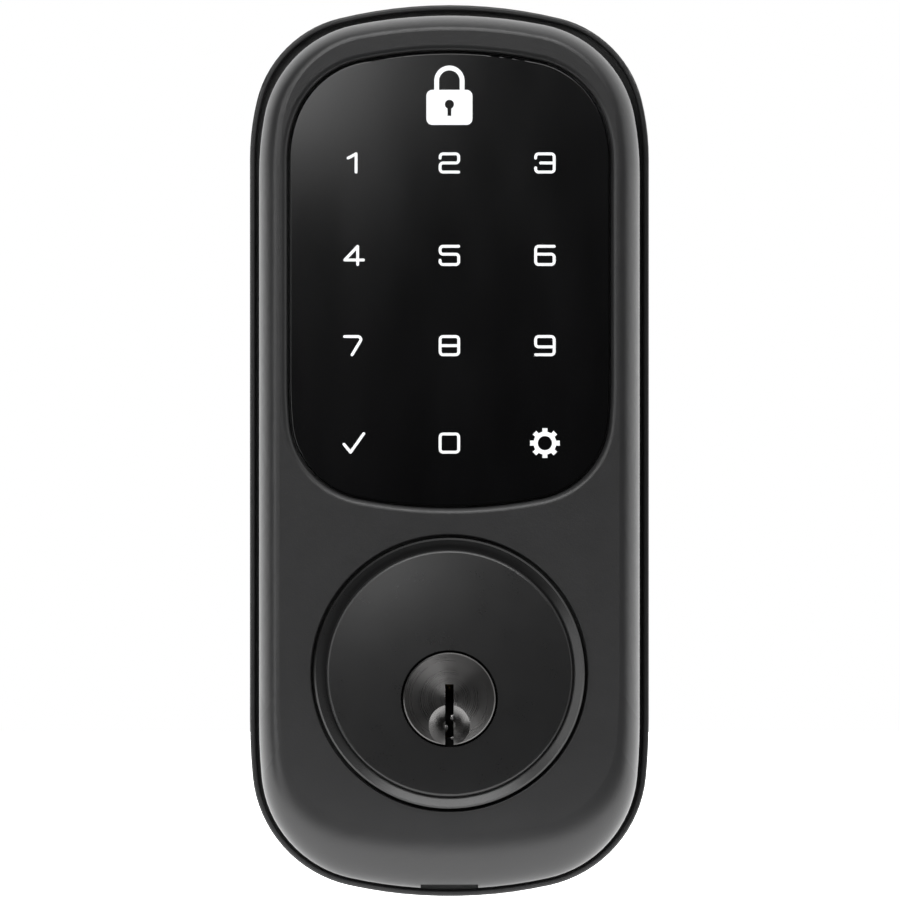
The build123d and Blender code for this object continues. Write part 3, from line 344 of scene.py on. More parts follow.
@dataclass(frozen=True)
class Metal:
    """Bare or plated metal with the marks of its making."""

    name: str
    colour: Colour
    lay: Lay
    roughness: float = 0.32
    pitch: float = 0.18
    depth: float = 0.000010
    anisotropy: float = 0.0
    stain: float = 0.12
    # Depth along Y in front of which the metal is painted near-black as shade for the plug's gap; 0
    # for none.
    gap_shade_from: float = 0.0

    def build(self) -> bpy.types.Material:
        """Builds the metal.

        Returns:
            The metal as a material.
        """
        tree = Tree(self.name)
        broad = tree.noise(110.0, 4.0)
        marks = self.marks(tree)
        dull = tuple(part * (1 - 2 * self.stain) for part in self.colour)
        tone = tree.blend(tree.spread(broad, 0.0, 0.8), self.colour, dull)
        # Painted shade: in front of the given depth the brass is painted near-black, standing in
        # for the shade in the gap round the plug.
        if self.gap_shade_from:
            depth = tree.vector("DOT_PRODUCT", tree.where, OUTWARD).outputs["Value"]
            edge = tree.maths("ADD", depth, tree.spread(broad, -0.0002, 0.0002))
            start = self.gap_shade_from
            black = tree.spread(edge, 1.0, 0.0, start, start + 0.6 * MM)
            tone = tree.blend(black, tone, GAP_SHADE)
        tree.set(
            Metallic=1.0,
            Base_Color=tone,
            Roughness=tree.maths(
                "ADD",
                tree.spread(marks, self.roughness - 0.05, self.roughness + 0.05),
                tree.spread(broad, -0.03, 0.05),
            ),
        )
        tree.bump(marks, self.depth)
        if self.anisotropy:
            outward = tree.vector("MULTIPLY", tree.where, (1.0, 0.0, 1.0))
            turn = tree.nodes.new("ShaderNodeVectorTransform")
            turn.vector_type, turn.convert_from, turn.convert_to = "VECTOR", "OBJECT", "WORLD"
            tree.links.new(outward.outputs[0], turn.inputs[0])
            tree.links.new(turn.outputs[0], tree.shader.inputs["Tangent"])
            tree.shader.inputs["Anisotropic"].default_value = self.anisotropy
        return tree.material

    def marks(self, tree: Tree) -> bpy.types.NodeSocket:
        """Adds the tool marks' pattern.

        Args:
            tree: the material's node tree.

        Returns:
            The pattern's height socket.
        """
        per_metre = 1.0 / (self.pitch * MM)
        if self.lay is Lay.TURNED or self.lay is Lay.GROUND:
            flat = (1.0, 0.0, 1.0) if self.lay is Lay.TURNED else (1.0, 1.0, 0.0)
            level = tree.vector("MULTIPLY", tree.where, flat)
            radius = tree.vector("LENGTH", level.outputs[0]).outputs["Value"]
            along = OUTWARD if self.lay is Lay.TURNED else UPWARD
            height = tree.vector("DOT_PRODUCT", tree.where, along).outputs["Value"]
            place = tree.nodes.new("ShaderNodeCombineXYZ")
            tree.links.new(radius, place.inputs[0])
            tree.links.new(height, place.inputs[1])
            return tree.add(
                "ShaderNodeTexNoise", Vector=place.outputs[0], Scale=per_metre, Detail=2.0
            ).outputs[0]
        fine, slack = 1.0, 0.02
        stretch = {
            Lay.LENGTHWISE_Y: (fine, slack, fine),
            Lay.LENGTHWISE_Z: (fine, fine, slack),
            Lay.ROLLED: (slack, fine, fine),
        }[self.lay]
        return tree.noise(per_metre, 3.0, stretch)


@dataclass(frozen=True)
class Rubber:
    """Foam, rubber or cable jacket."""

    name: str
    colour: Colour
    cell: float = 1500.0
    roughness: float = 0.8

    def build(self) -> bpy.types.Material:
        """Builds the rubber.

        Returns:
            The rubber as a material.
        """
        tree = Tree(self.name)
        cells = tree.add("ShaderNodeTexVoronoi", Vector=tree.where, Scale=self.cell)
        soft = tree.noise(120.0, 3.0)
        tree.set(
            Base_Color=tree.blend(
                tree.spread(soft, 0.0, 1.0), self.colour, tuple(1.6 * c for c in self.colour)
            ),
            Roughness=tree.spread(soft, self.roughness - 0.06, self.roughness + 0.06),
        )
        tree.bump(cells.outputs["Distance"], 0.00003)
        return tree.material


@dataclass(frozen=True)
class Board:
    """Solder mask over tracks, with tinned pads."""

    name: str
    mask: Colour = (0.006, 0.075, 0.03)

    def build(self) -> bpy.types.Material:
        """Builds the board.

        Returns:
            The board as a material.
        """
        tree = Tree(self.name)
        cells = tree.nodes.new("ShaderNodeTexVoronoi")
        cells.distance = "MANHATTAN"
        cells.feature = "F1"
        tree.links.new(tree.where, cells.inputs["Vector"])
        cells.inputs["Scale"].default_value = 330.0
        ways = tree.maths("PINGPONG", tree.maths("MULTIPLY", cells.outputs["Distance"], 7.0), 0.5)
        track = tree.spread(ways, 0.0, 1.0, 0.26, 0.32)
        dots = tree.add("ShaderNodeTexVoronoi", Vector=tree.where, Scale=260.0, Randomness=0.35)
        pad = tree.spread(dots.outputs["Distance"], 1.0, 0.0, 0.13, 0.16)
        green = tree.blend(track, self.mask, tuple(2.3 * c for c in self.mask))
        tree.set(
            Base_Color=tree.blend(pad, green, (0.62, 0.6, 0.55)),
            Metallic=pad,
            Roughness=tree.spread(track, 0.36, 0.28, 0.0, 1.0),
        )
        tree.bump(track, 0.00002)
        tree.bump(pad, 0.00003)
        return tree.material


@dataclass(frozen=True)
class Clear:
    """Clear acrylic light guide with a dotted back."""

    name: str

    def build(self) -> bpy.types.Material:
        """Builds the acrylic.

        Returns:
            The acrylic as a material.
        """
        tree = Tree(self.name)
        dots = tree.add("ShaderNodeTexVoronoi", Vector=tree.where, Scale=900.0, Randomness=0.1)
        dot = tree.spread(dots.outputs["Distance"], 1.0, 0.0, 0.2, 0.3)
        tree.set(
            Base_Color=tree.blend(dot, (0.86, 0.92, 0.94), (1.0, 1.0, 1.0)),
            Roughness=tree.spread(dot, 0.06, 0.5, 0.0, 1.0),
            Transmission_Weight=0.85,
            IOR=1.49,
        )
        tree.bump(dot, 0.00003)
        return tree.material


@dataclass(frozen=True)
class Sleeve:
    """Printed battery sleeve: a dark barrel and a bright band at one end."""

    name: str
    foot: float
    length: float
    pitch: float

    def build(self) -> bpy.types.Material:
        """Builds the sleeve; every second cell stands upside down.

        Returns:
            The sleeve as a material.
        """
        tree = Tree(self.name)
        height = tree.vector("DOT_PRODUCT", tree.where, UPWARD).outputs["Value"]
        across = tree.vector("DOT_PRODUCT", tree.where, ACROSS).outputs["Value"]
        from_first = tree.maths("ADD", across, 2 * self.pitch)
        number = tree.maths("FLOOR", tree.maths("DIVIDE", from_first, self.pitch))
        flipped = tree.maths("MODULO", number, 2.0)
        share = tree.maths("DIVIDE", tree.maths("SUBTRACT", height, self.foot), self.length)
        upright = tree.maths("MULTIPLY", share, tree.maths("SUBTRACT", 1.0, flipped))
        turned = tree.maths("MULTIPLY", tree.maths("SUBTRACT", 1.0, share), flipped)
        band = tree.spread(tree.maths("ADD", upright, turned), 0.0, 1.0, 0.70, 0.702)
        scuff = tree.noise(420.0, 4.0, (1.0, 1.0, 0.4))
        plain = tree.blend(tree.spread(scuff, 0.0, 1.0), (0.012, 0.014, 0.018), (0.03, 0.034, 0.04))
        bright = tree.blend(tree.spread(scuff, 0.0, 1.0), (0.62, 0.30, 0.08), (0.72, 0.38, 0.12))
        tree.set(
            Base_Color=tree.blend(band, plain, bright),
            Metallic=0.35,
            Roughness=tree.spread(scuff, 0.22, 0.34),
        )
        tree.bump(scuff, 0.000006)
        return tree.material


class Finishes:
    """Every finish of the lock, each built once when first asked for."""

    PAINT = Paint("satin_black_paint", (0.020, 0.020, 0.0205), 0.38)
    COLLAR = Paint("satin_black_collar", (0.013, 0.013, 0.0132), 0.3, depth=0.000004)
    MOULDING = Paint("black_moulding", (0.018, 0.018, 0.0185), 0.5, grain=2600.0, depth=0.00003)
    CHASSIS = Paint("charcoal_moulding", (0.045, 0.045, 0.05), 0.55, grain=1900.0, depth=0.00003)
    WINDOW = Gloss("black_window", (0.0016, 0.0016, 0.0018))
    PRINT = Legend("white_print")
    ZINC = Metal("zinc_plate", (0.56, 0.57, 0.58), Lay.ROLLED, 0.34, 0.4)
    WIRE = Metal("bright_wire", (0.66, 0.66, 0.68), Lay.LENGTHWISE_Z, 0.22, 0.2)
    PINS = Metal("turned_brass", (0.78, 0.57, 0.25), Lay.GROUND, 0.26, 0.16)
    # The cylinder body's front face is painted near-black: painted shade in the gap round the plug.
    BRASS = Metal("milled_brass", (0.74, 0.54, 0.24), Lay.TURNED, 0.3, 0.2, gap_shade_from=-0.0212)
    PLUG = Metal("turned_dark_plug", (0.17, 0.167, 0.165), Lay.TURNED, 0.30, 0.13, 0.000006, 0.8)
    STEEL = Metal("ground_steel", (0.5, 0.5, 0.51), Lay.TURNED, 0.24, 0.15)
    CAN = Metal("drawn_can", (0.6, 0.6, 0.61), Lay.LENGTHWISE_Y, 0.26, 0.2)
    TIN = Metal("tinned_leads", (0.7, 0.7, 0.69), Lay.ROLLED, 0.28, 0.3)
    ACETAL = Paint("natural_acetal", (0.74, 0.72, 0.66), 0.45, 2000.0, 0.00001, mottle=0.04)
    NYLON = Paint("ivory_nylon", (0.72, 0.68, 0.58), 0.5, grain=1500.0, depth=0.00001, mottle=0.05)
    CHIPS = Paint("chip_packages", (0.02, 0.02, 0.021), 0.55, grain=5200.0, depth=0.00002)
    RED = Paint("red_button", (0.42, 0.02, 0.015), 0.35, grain=2400.0, depth=0.00001)
    FOAM = Rubber("closed_cell_foam", (0.012, 0.012, 0.012), 1800.0, 0.9)
    JACKET = Rubber("cable_jacket", (0.014, 0.014, 0.015), 900.0, 0.55)
    MASK = Board("green_solder_mask")
    ACRYLIC = Clear("light_guide_acrylic")
    SLEEVE = Sleeve("battery_sleeve", 0.0397, 0.0512, 0.0146)

    def __init__(self) -> None:
        """Starts with no finish built."""
        self.built: dict[str, bpy.types.Material] = {}

    def get(self, finish: object) -> bpy.types.Material:
        """Builds a finish's material on first use.

        Args:
            finish: one of the finishes above.

        Returns:
            Its material.
        """
        if finish.name not in self.built:
            self.built[finish.name] = finish.build()
        return self.built[finish.name]


class Shape:
    """One new piece in the making: a bmesh, its operators and its end as an object."""

    def __init__(self, name: str) -> None:
        """Starts an empty shape.

        Args:
            name: the piece's name.
        """
        self.name = name
        self.mesh = bmesh.new()

    def prism(self, corners: list[Vector], along: Vector, rounding: float = 0.0) -> None:
        """Adds a bar of one outline.

        Args:
            corners: the outline's corners, in metres.
            along: how far and which way the outline is extruded.
            rounding: radius of its rounded edges.
        """
        verts = [bmesh.ops.create_vert(self.mesh, co=corner)["vert"][0] for corner in corners]
        start = bmesh.ops.contextual_create(self.mesh, geom=verts)["faces"]
        grown = bmesh.ops.extrude_face_region(self.mesh, geom=start, use_keep_orig=True)["geom"]
        moved = [item for item in grown if isinstance(item, bmesh.types.BMVert)]
        bmesh.ops.translate(self.mesh, verts=moved, vec=along)
        if rounding:
            ring = set(verts) | set(moved)
            self.soften({edge for vert in ring for edge in vert.link_edges}, rounding)

    def bar(self, centre: Vector, size: Vector, rounding: float = 0.0, segments: int = 2) -> None:
        """Adds a block with rounded edges.

        Args:
            centre: its middle.
            size: its length along each axis.
            rounding: radius of its rounded edges.
            segments: steps round each edge.
        """
        verts = bmesh.ops.create_cube(self.mesh, size=1.0)["verts"]
        bmesh.ops.scale(self.mesh, verts=verts, vec=size)
        bmesh.ops.translate(self.mesh, verts=verts, vec=centre)
        if rounding:
            self.soften({edge for vert in verts for edge in vert.link_edges}, rounding, segments)

    def turned(
        self, profile: list[tuple[float, float]], centre: Vector, axis: Vector, steps: int = 48
    ) -> None:
        """Adds a closed ring turned from a profile.

        Args:
            profile: (radius, height along the axis) of each corner, in metres.
            centre: a point on the axis, at height 0.
            axis: the unit axis.
            steps: steps round the circle.
        """
        side = axis.orthogonal().normalized()
        verts = [
            bmesh.ops.create_vert(self.mesh, co=centre + side * radius + axis * height)["vert"][0]
            for radius, height in profile
        ]
        edges = [self.mesh.edges.new((a, b)) for a, b in zip(verts, verts[1:] + verts[:1])]
        bmesh.ops.spin(
            self.mesh,
            geom=verts + edges,
            cent=centre,
            axis=axis,
            angle=math.tau,
            steps=steps,
            use_merge=True,
        )

    def coil(self, foot: Vector, radius: float, wire: float, height: float, turns: int) -> None:
        """Adds an upright coil of round wire with closed ends.

        Args:
            foot: the middle of its first turn.
            radius: from its axis to the wire's middle.
            wire: the wire's radius.
            height: rise of the wire's middle from end to end.
            turns: number of turns.
        """
        start = bmesh.ops.create_circle(self.mesh, segments=WIRE_SIDES, radius=wire)["verts"]
        upright = Matrix.Rotation(math.radians(90), 3, "X")
        bmesh.ops.rotate(self.mesh, verts=start, cent=NO_SHIFT, matrix=upright)
        bmesh.ops.translate(self.mesh, verts=start, vec=foot + Vector((radius, 0.0, 0.0)))
        loop = {edge for vert in start for edge in vert.link_edges}
        steps = STEPS_PER_TURN * turns
        bmesh.ops.spin(
            self.mesh,
            geom=[*start, *loop],
            cent=foot,
            axis=UPWARD,
            dvec=(0.0, 0.0, height / steps),
            angle=math.tau * turns,
            steps=steps,
        )
        ends = [edge for edge in self.mesh.edges if edge.is_boundary]
        bmesh.ops.holes_fill(self.mesh, edges=ends, sides=0)

    def soften(self, edges: set, radius: float, segments: int = 2) -> None:
        """Rounds edges.

        Args:
            edges: the edges to round.
            radius: the rounding's reach from the edge.
            segments: steps round each edge.
        """
        bmesh.ops.bevel(
            self.mesh,
            geom=list(edges),
            offset=radius,
            affect="EDGES",
            segments=segments,
            profile=0.5,
            material=-1,
        )

    def place(self, material: bpy.types.Material, body: str, slot: str) -> bpy.types.Object:
        """Closes the shape and makes it an object that rides on a body.

        Args:
            material: its finish.
            body: the body that it moves with.
            slot: not used.

        Returns:
            The finished object.
        """
        bmesh.ops.remove_doubles(self.mesh, verts=self.mesh.verts, dist=WELD)
        bmesh.ops.recalc_face_normals(self.mesh, faces=self.mesh.faces)
        for face in self.mesh.faces:
            face.smooth = True
        data = bpy.data.meshes.new(self.name)
        self.mesh.to_mesh(data)
        self.mesh.free()
        data.set_sharp_from_angle(angle=CREASE)
        data.materials.append(material)
        piece = bpy.data.objects.new(self.name, data)
        bpy.context.collection.objects.link(piece)
        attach(piece, body)
        LOG.info("%s: %d faces on %s", self.name, len(data.polygons), body)
        return piece


@dataclass
class SubAssembly:
    """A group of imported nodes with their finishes, and the new pieces that go with them."""

    nodes: dict[str, bpy.types.Object]
    finishes: Finishes

    def wear(self) -> dict[object, tuple[str, ...]]:
        """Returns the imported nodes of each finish."""
        return {}

    def pieces(self) -> None:
        """Builds the sub-assembly's new pieces."""

    def build(self) -> set[str]:
        """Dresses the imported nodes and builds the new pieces.

        Returns:
            The names of the dressed nodes.
        """
        dressed = set()
        for finish, names in self.wear().items():
            material = self.finishes.get(finish)
            for name in names:
                data = self.nodes[name].data
                data.materials.clear()
                data.materials.append(material)
                dressed.add(name)
                LOG.info("%s: %s", name, material.name)
        self.pieces()
        return dressed

    def washer(self, inner: float, outer: float, thick: float) -> list[tuple[float, float]]:
        """Gives the profile of a ring with a chamfered outer edge.

        Args:
            inner: the hole's radius.
            outer: the ring's radius.
            thick: its thickness.

        Returns:
            The (radius, height) corners.
        """
        edge = (outer, 0.6 * thick), (outer - 0.4 * thick, thick)
        return [(inner, 0.0), (outer, 0.0), *edge, (inner, thick)]

    def corners(self, name: str) -> tuple[Vector, Vector]:
        """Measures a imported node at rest.

        Args:
            name: the node.

        Returns:
            Its lowest and highest corners.
        """
        low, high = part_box(name)
        return Vector(low), Vector(high)


@dataclass
class OutdoorCasing(SubAssembly):
    """Escutcheon, backplate, foam gasket and their screws."""

    def wear(self) -> dict[object, tuple[str, ...]]:
        """Lists what the sub-assembly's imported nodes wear.

        Returns:
            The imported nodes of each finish.
        """
        return {
            Finishes.PAINT: ("front_escutcheon", "exterior_backplate"),
            Finishes.FOAM: ("exterior_gasket",),
            Finishes.ZINC: ("backplate_screws",),
        }


@dataclass
class KeypadGlass(SubAssembly):
    """Touch window with its legends, seal and light guide."""

    def wear(self) -> dict[object, tuple[str, ...]]:
        """Lists what the sub-assembly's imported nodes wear.

        Returns:
            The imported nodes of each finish.
        """
        return {
            Finishes.WINDOW: ("touchscreen_lens",),
            Finishes.PRINT: ("keypad_legends", "lock_icon"),
            Finishes.FOAM: ("lens_seal",),
            Finishes.ACRYLIC: ("light_guide",),
        }


@dataclass(frozen=True)
class Chip:
    """A leaded package: its middle on the board and its body's width and height, in millimetres."""

    x: float
    z: float
    wide: float
    tall: float


@dataclass
class CircuitBoards(SubAssembly):
    """Both boards, their parts, the radio can and the reset button."""

    keypad_chips: tuple[Chip, ...] = (Chip(8.0, 66.0, 9.0, 9.0), Chip(-9.0, 73.0, 6.0, 5.0))
    main_chips: tuple[Chip, ...] = (Chip(-8.0, 66.0, 10.0, 10.0), Chip(6.0, 58.0, 7.0, 5.0))
    lead_pitch: float = 1.0
    lead_width: float = 0.4
    lead_reach: float = 0.9
    lead_rise: float = 0.6
    lead_thick: float = 0.15
    lid_inset: float = 0.7
    lid_thick: float = 0.2
    lid_round: float = 0.08
    lid_step_round: float = 0.09

    def wear(self) -> dict[object, tuple[str, ...]]:
        """Lists what the sub-assembly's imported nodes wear.

        Returns:
            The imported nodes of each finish.
        """
        return {
            Finishes.MASK: ("keypad_circuit_board", "main_circuit_board"),
            Finishes.CHIPS: ("keypad_board_parts", "main_board_parts"),
            Finishes.NYLON: ("backlight_leds",),
            Finishes.ZINC: ("keypad_board_screws", "radio_module"),
            Finishes.RED: ("reset_button",),
        }

    def pieces(self) -> None:
        """Builds the chips' leads and the radio can's lid."""
        for name, board, chips in (
            ("keypad_chip_leads", "keypad_circuit_board", self.keypad_chips),
            ("main_chip_leads", "main_circuit_board", self.main_chips),
        ):
            leads = Shape(name)
            seat = self.corners(board)[1].y
            for chip in chips:
                self.leads_of(leads, chip, seat)
            leads.place(self.finishes.get(Finishes.TIN), "frame", board)
        self.radio_lid()

    def leads_of(self, leads: Shape, chip: Chip, seat: float) -> None:
        """Adds a chip's two rows of bent leads.

        Args:
            leads: the shape that they join.
            chip: the package.
            seat: the board face's place along Y, in metres.
        """
        count = int((chip.tall - 1.0) / self.lead_pitch)
        rise, thick, reach = self.lead_rise, self.lead_thick, self.lead_reach
        upper = ((0.0, rise), (0.3, rise), (0.5, thick), (reach, thick))
        outline = (*upper, (reach, 0.0), (0.4, 0.0), (0.2, rise - thick), (0.0, rise - thick))
        for side in (-1, 1):
            for number in range(count):
                z = chip.z + (number - (count - 1) / 2) * self.lead_pitch - self.lead_width / 2
                edge = chip.x + side * (chip.wide / 2 - 0.05)
                corners = [
                    Vector(((edge + side * u) * MM, seat + v * MM, z * MM)) for u, v in outline
                ]
                leads.prism(corners, Vector((0.0, 0.0, self.lead_width * MM)))

    def radio_lid(self) -> None:
        """Builds the pressed lid of the radio can, with a raised middle."""
        low, high = self.corners("radio_module")
        inset = self.lid_inset * MM
        lid = Shape("radio_can_lid")
        middle = (low + high) / 2
        size = Vector((high.x - low.x - 2 * inset, self.lid_thick * MM, high.z - low.z - 2 * inset))
        lid.bar(Vector((middle.x, high.y + size.y / 2, middle.z)), size, self.lid_round * MM)
        step = Vector((size.x * 0.7, size.y, size.z * 0.6))
        middle.y = high.y + 1.4 * size.y
        lid.bar(middle, step, self.lid_step_round * MM)
        lid.place(self.finishes.get(Finishes.TIN), "frame", "radio_module")


@dataclass
class DoorCable(SubAssembly):
    """Cable through the door with its plugs, grommet and ribbed boots."""

    boot_bore: float = 1.45
    boot_pitch: float = 1.1
    boot_rib: float = 0.55
    boot_ribs: int = 4
    boot_low: float = 1.7
    boot_high: float = 2.15

    def wear(self) -> dict[object, tuple[str, ...]]:
        """Lists what the sub-assembly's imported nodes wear.

        Returns:
            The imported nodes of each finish.
        """
        return {
            Finishes.JACKET: ("keypad_cable", "cable_grommet"),
            Finishes.NYLON: ("cable_connectors",),
        }

    def pieces(self) -> None:
        """Builds one ribbed boot under each plug."""
        low, high = self.corners("cable_connectors")
        cable_low, cable_high = self.corners("keypad_cable")
        radius = (cable_high.x - cable_low.x) / 2
        x = (cable_high.x + cable_low.x) / 2
        profile = [(self.boot_bore, 0.0)]
        for rib in range(self.boot_ribs):
            top = -rib * self.boot_pitch
            foot = top - self.boot_rib
            profile += [(self.boot_high, top), (self.boot_high, foot), (self.boot_low, foot - 0.1)]
            profile.append((self.boot_low, top - self.boot_pitch + 0.1))
        profile.append((self.boot_bore, profile[-1][1]))
        scaled = [(r * MM, h * MM) for r, h in profile]
        for name, y in (
            ("outdoor_cable_boot", cable_low.y + radius),
            ("indoor_cable_boot", cable_high.y - radius),
        ):
            boot = Shape(name)
            boot.turned(scaled, Vector((x, y, low.z)), Vector(UPWARD))
            boot.place(self.finishes.get(Finishes.JACKET), "frame", "keypad_cable")


@dataclass
class LockCylinder(SubAssembly):
    """Collar, cylinder, plug, pins, springs, cap and tailpiece."""

    slot_half: float = 0.7
    ward_depth: float = 0.5
    ward_levels: tuple[tuple[int, float, float], ...] = (
        (1, -3.7, -2.6),
        (-1, -5.4, -4.3),
        (1, -6.9, -6.2),
    )
    ward_round: float = 0.06
    ward_start: float = 2.3
    ward_end: float = -0.6
    pins: int = 5
    spring_wire: float = 0.15
    spring_turns: int = 6
    driver_lift: float = 3.0

    def wear(self) -> dict[object, tuple[str, ...]]:
        """Lists what the sub-assembly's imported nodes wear.

        Returns:
            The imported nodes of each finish.
        """
        numbers = range(1, self.pins + 1)
        return {
            Finishes.COLLAR: ("cylinder_collar",),
            Finishes.BRASS: ("cylinder_body", "plug_cap", "chamber_cap"),
            Finishes.PLUG: ("key_plug",),
            Finishes.ZINC: ("cylinder_screws", "tailpiece"),
            Finishes.PINS: tuple(f"{kind}_pin_{n}" for kind in ("key", "driver") for n in numbers),
            Finishes.WIRE: tuple(f"pin_spring_{n}" for n in numbers),
        }

    def pieces(self) -> None:
        """Builds the keyway's wards and the pin springs."""
        self.keyway_wards()
        for number in range(1, self.pins + 1):
            self.driver_spring(number)

    def driver_spring(self, number: int) -> None:
        """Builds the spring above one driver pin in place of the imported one.

        Args:
            number: the pin's number, from the front.
        """
        low, high = self.corners(f"pin_spring_{number}")
        wire = self.spring_wire * MM
        middle = (low + high) / 2
        foot = Vector((middle.x, middle.y, low.z + wire))
        spring = Shape(f"driver_spring_{number}")
        radius = (high.x - low.x) / 2 - wire
        spring.coil(foot, radius, wire, high.z - low.z - 2 * wire, self.spring_turns)
        piece = spring.place(self.finishes.get(Finishes.WIRE), "frame", f"pin_spring_{number}")
        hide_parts(f"pin_spring_{number}")
        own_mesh(piece)

    def keyway_wards(self) -> None:
        """Builds the keyway's wards, the ridges that a key's grooves pass over."""
        face = self.corners("key_plug")[0].y
        wards = Shape("keyway_wards")
        start = face + self.ward_start * MM
        length = self.ward_end * MM - start
        for side, low, high in self.ward_levels:
            wall = side * (self.slot_half + 0.1)
            tip = side * (self.slot_half - self.ward_depth)
            outline = ((wall, low), (tip, low + 0.25), (tip, high - 0.15), (wall, high))
            corners = [Vector((x * MM, start, z * MM)) for x, z in outline]
            wards.prism(corners, Vector((0.0, length, 0.0)), self.ward_round * MM)
        wards.place(self.finishes.get(Finishes.PLUG), "key_plug", "key_plug")


@dataclass
class IndoorFrame(SubAssembly):
    """Mounting plate, bolts and chassis."""

    def wear(self) -> dict[object, tuple[str, ...]]:
        """Lists what the sub-assembly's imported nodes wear.

        Returns:
            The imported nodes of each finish.
        """
        return {
            Finishes.ZINC: ("mounting_plate", "through_bolts", "chassis_screws"),
            Finishes.CHASSIS: ("interior_chassis",),
        }


@dataclass
class GearTrain(SubAssembly):
    """Gears, axle, motor and gear cover, with the motor's brush cap."""

    cap_ring: tuple[float, float, float] = (3.05, 5.9, 0.5)
    cap_inset: float = 0.8
    tab_spread: float = 4.6
    tab_round: float = 0.1
    tab_size: tuple[float, float, float] = (1.8, 2.2, 0.4)

    def wear(self) -> dict[object, tuple[str, ...]]:
        """Lists what the sub-assembly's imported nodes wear.

        Returns:
            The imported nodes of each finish.
        """
        return {
            Finishes.ACETAL: ("output_gear", "idler_gear"),
            Finishes.BRASS: ("motor_pinion",),
            Finishes.STEEL: ("idler_axle",),
            Finishes.CAN: ("motor",),
            Finishes.ZINC: ("gear_cover", "gear_cover_screws"),
        }

    def pieces(self) -> None:
        """Builds the brush cap and its two solder tabs."""
        low, high = self.corners("motor")
        back = high.y - self.cap_inset * MM
        middle = Vector(((low.x + high.x) / 2, back, (low.z + high.z) / 2))
        inner, outer, thick = (value * MM for value in self.cap_ring)
        cap = Shape("motor_brush_cap")
        cap.turned(self.washer(inner, outer, thick), middle, Vector(OUTWARD))
        cap.place(self.finishes.get(Finishes.NYLON), "frame", "motor")
        tabs = Shape("motor_tabs")
        size = Vector(self.tab_size) * MM
        for side in (-1, 1):
            spot = middle + Vector((side * self.tab_spread * MM, size.y / 2 + 0.2 * MM, 0.0))
            tabs.bar(spot, size, self.tab_round * MM)
        tabs.place(self.finishes.get(Finishes.TIN), "frame", "motor")


@dataclass
class BatteryPack(SubAssembly):
    """Four cells with their insulating rings, contacts and springs."""

    cells: int = 4
    cell_radius: float = 7.0
    nub: float = 1.3
    ring: tuple[float, float, float] = (3.0, 6.5, 0.25)

    def wear(self) -> dict[object, tuple[str, ...]]:
        """Lists what the sub-assembly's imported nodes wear.

        Returns:
            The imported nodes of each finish.
        """
        return {
            Finishes.SLEEVE: ("batteries",),
            Finishes.ZINC: ("battery_contacts",),
            Finishes.WIRE: ("battery_springs",),
        }

    def pieces(self) -> None:
        """Builds the ring round each cell's raised end; every second cell is upside down."""
        low, high = self.corners("batteries")
        pitch = (high.x - low.x - 2 * self.cell_radius * MM) / (self.cells - 1)
        inner, outer, thick = (value * MM for value in self.ring)
        rings = Shape("cell_end_rings")
        profile = self.washer(inner, outer, thick)
        for number in range(self.cells):
            x = low.x + self.cell_radius * MM + number * pitch
            up = -1 if number % 2 else 1
            end = high.z - self.nub * MM if up > 0 else low.z + self.nub * MM
            rings.turned(profile, Vector((x, (low.y + high.y) / 2, end)), up * Vector(UPWARD))
        rings.place(self.finishes.get(Finishes.NYLON), "frame", "batteries")


@dataclass
class IndoorCasing(SubAssembly):
    """Indoor cover, battery cover with its grip ribs, and the thumbturn with its pointer."""

    rib_count: int = 6
    rib_first: float = 6.0
    rib_pitch: float = 2.0
    rib_size: tuple[float, float, float] = (18.0, 1.2, 0.9)
    rib_sunk: float = 0.7
    rib_round: float = 0.4
    pointer: tuple[float, float, float] = (2.6, 0.6, 0.8)
    pointer_reach: float = 10.6
    pointer_round: float = 0.12
    disc_face: float = 3.2

    def wear(self) -> dict[object, tuple[str, ...]]:
        """Lists what the sub-assembly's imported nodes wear.

        Returns:
            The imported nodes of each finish.
        """
        return {
            Finishes.MOULDING: ("interior_cover", "battery_cover"),
            Finishes.PAINT: ("thumbturn",),
            Finishes.STEEL: ("retaining_clip",),
        }

    def pieces(self) -> None:
        """Builds the grip ribs and the thumbturn's pointer marks."""
        low, high = self.corners("battery_cover")
        ribs = Shape("battery_cover_ribs")
        wide, deep, tall = (value * MM for value in self.rib_size)
        for number in range(self.rib_count):
            z = low.z + (self.rib_first + number * self.rib_pitch) * MM
            shorter = abs(number - (self.rib_count - 1) / 2) * 1.2 * MM
            centre = Vector((0.0, high.y + deep / 2 - self.rib_sunk * MM, z))
            ribs.bar(centre, Vector((wide - shorter, deep, tall)), self.rib_round * MM, 3)
        ribs.place(self.finishes.get(Finishes.MOULDING), "battery_cover", "battery_cover")
        marks = Shape("thumbturn_pointer")
        wide, deep, tall = (value * MM for value in self.pointer)
        face = high.y + self.disc_face * MM
        for side in (-1, 1):
            centre = Vector((side * self.pointer_reach * MM, face - deep / 2 + 0.1 * MM, 0.0))
            marks.bar(centre, Vector((wide, deep, tall)), self.pointer_round * MM)
        # The pointer marks wear the emissive print, so they glow a little: a painted glow, as
        # nothing lights them from behind.
        marks.place(self.finishes.get(Finishes.PRINT), "thumbturn", "thumbturn")


@dataclass(frozen=True)
class Card:
    """A rectangular light: its place, the point it faces, its width and height, and its power."""

    name: str
    place: Triple
    aim: Triple
    size: tuple[float, float]
    watts: float


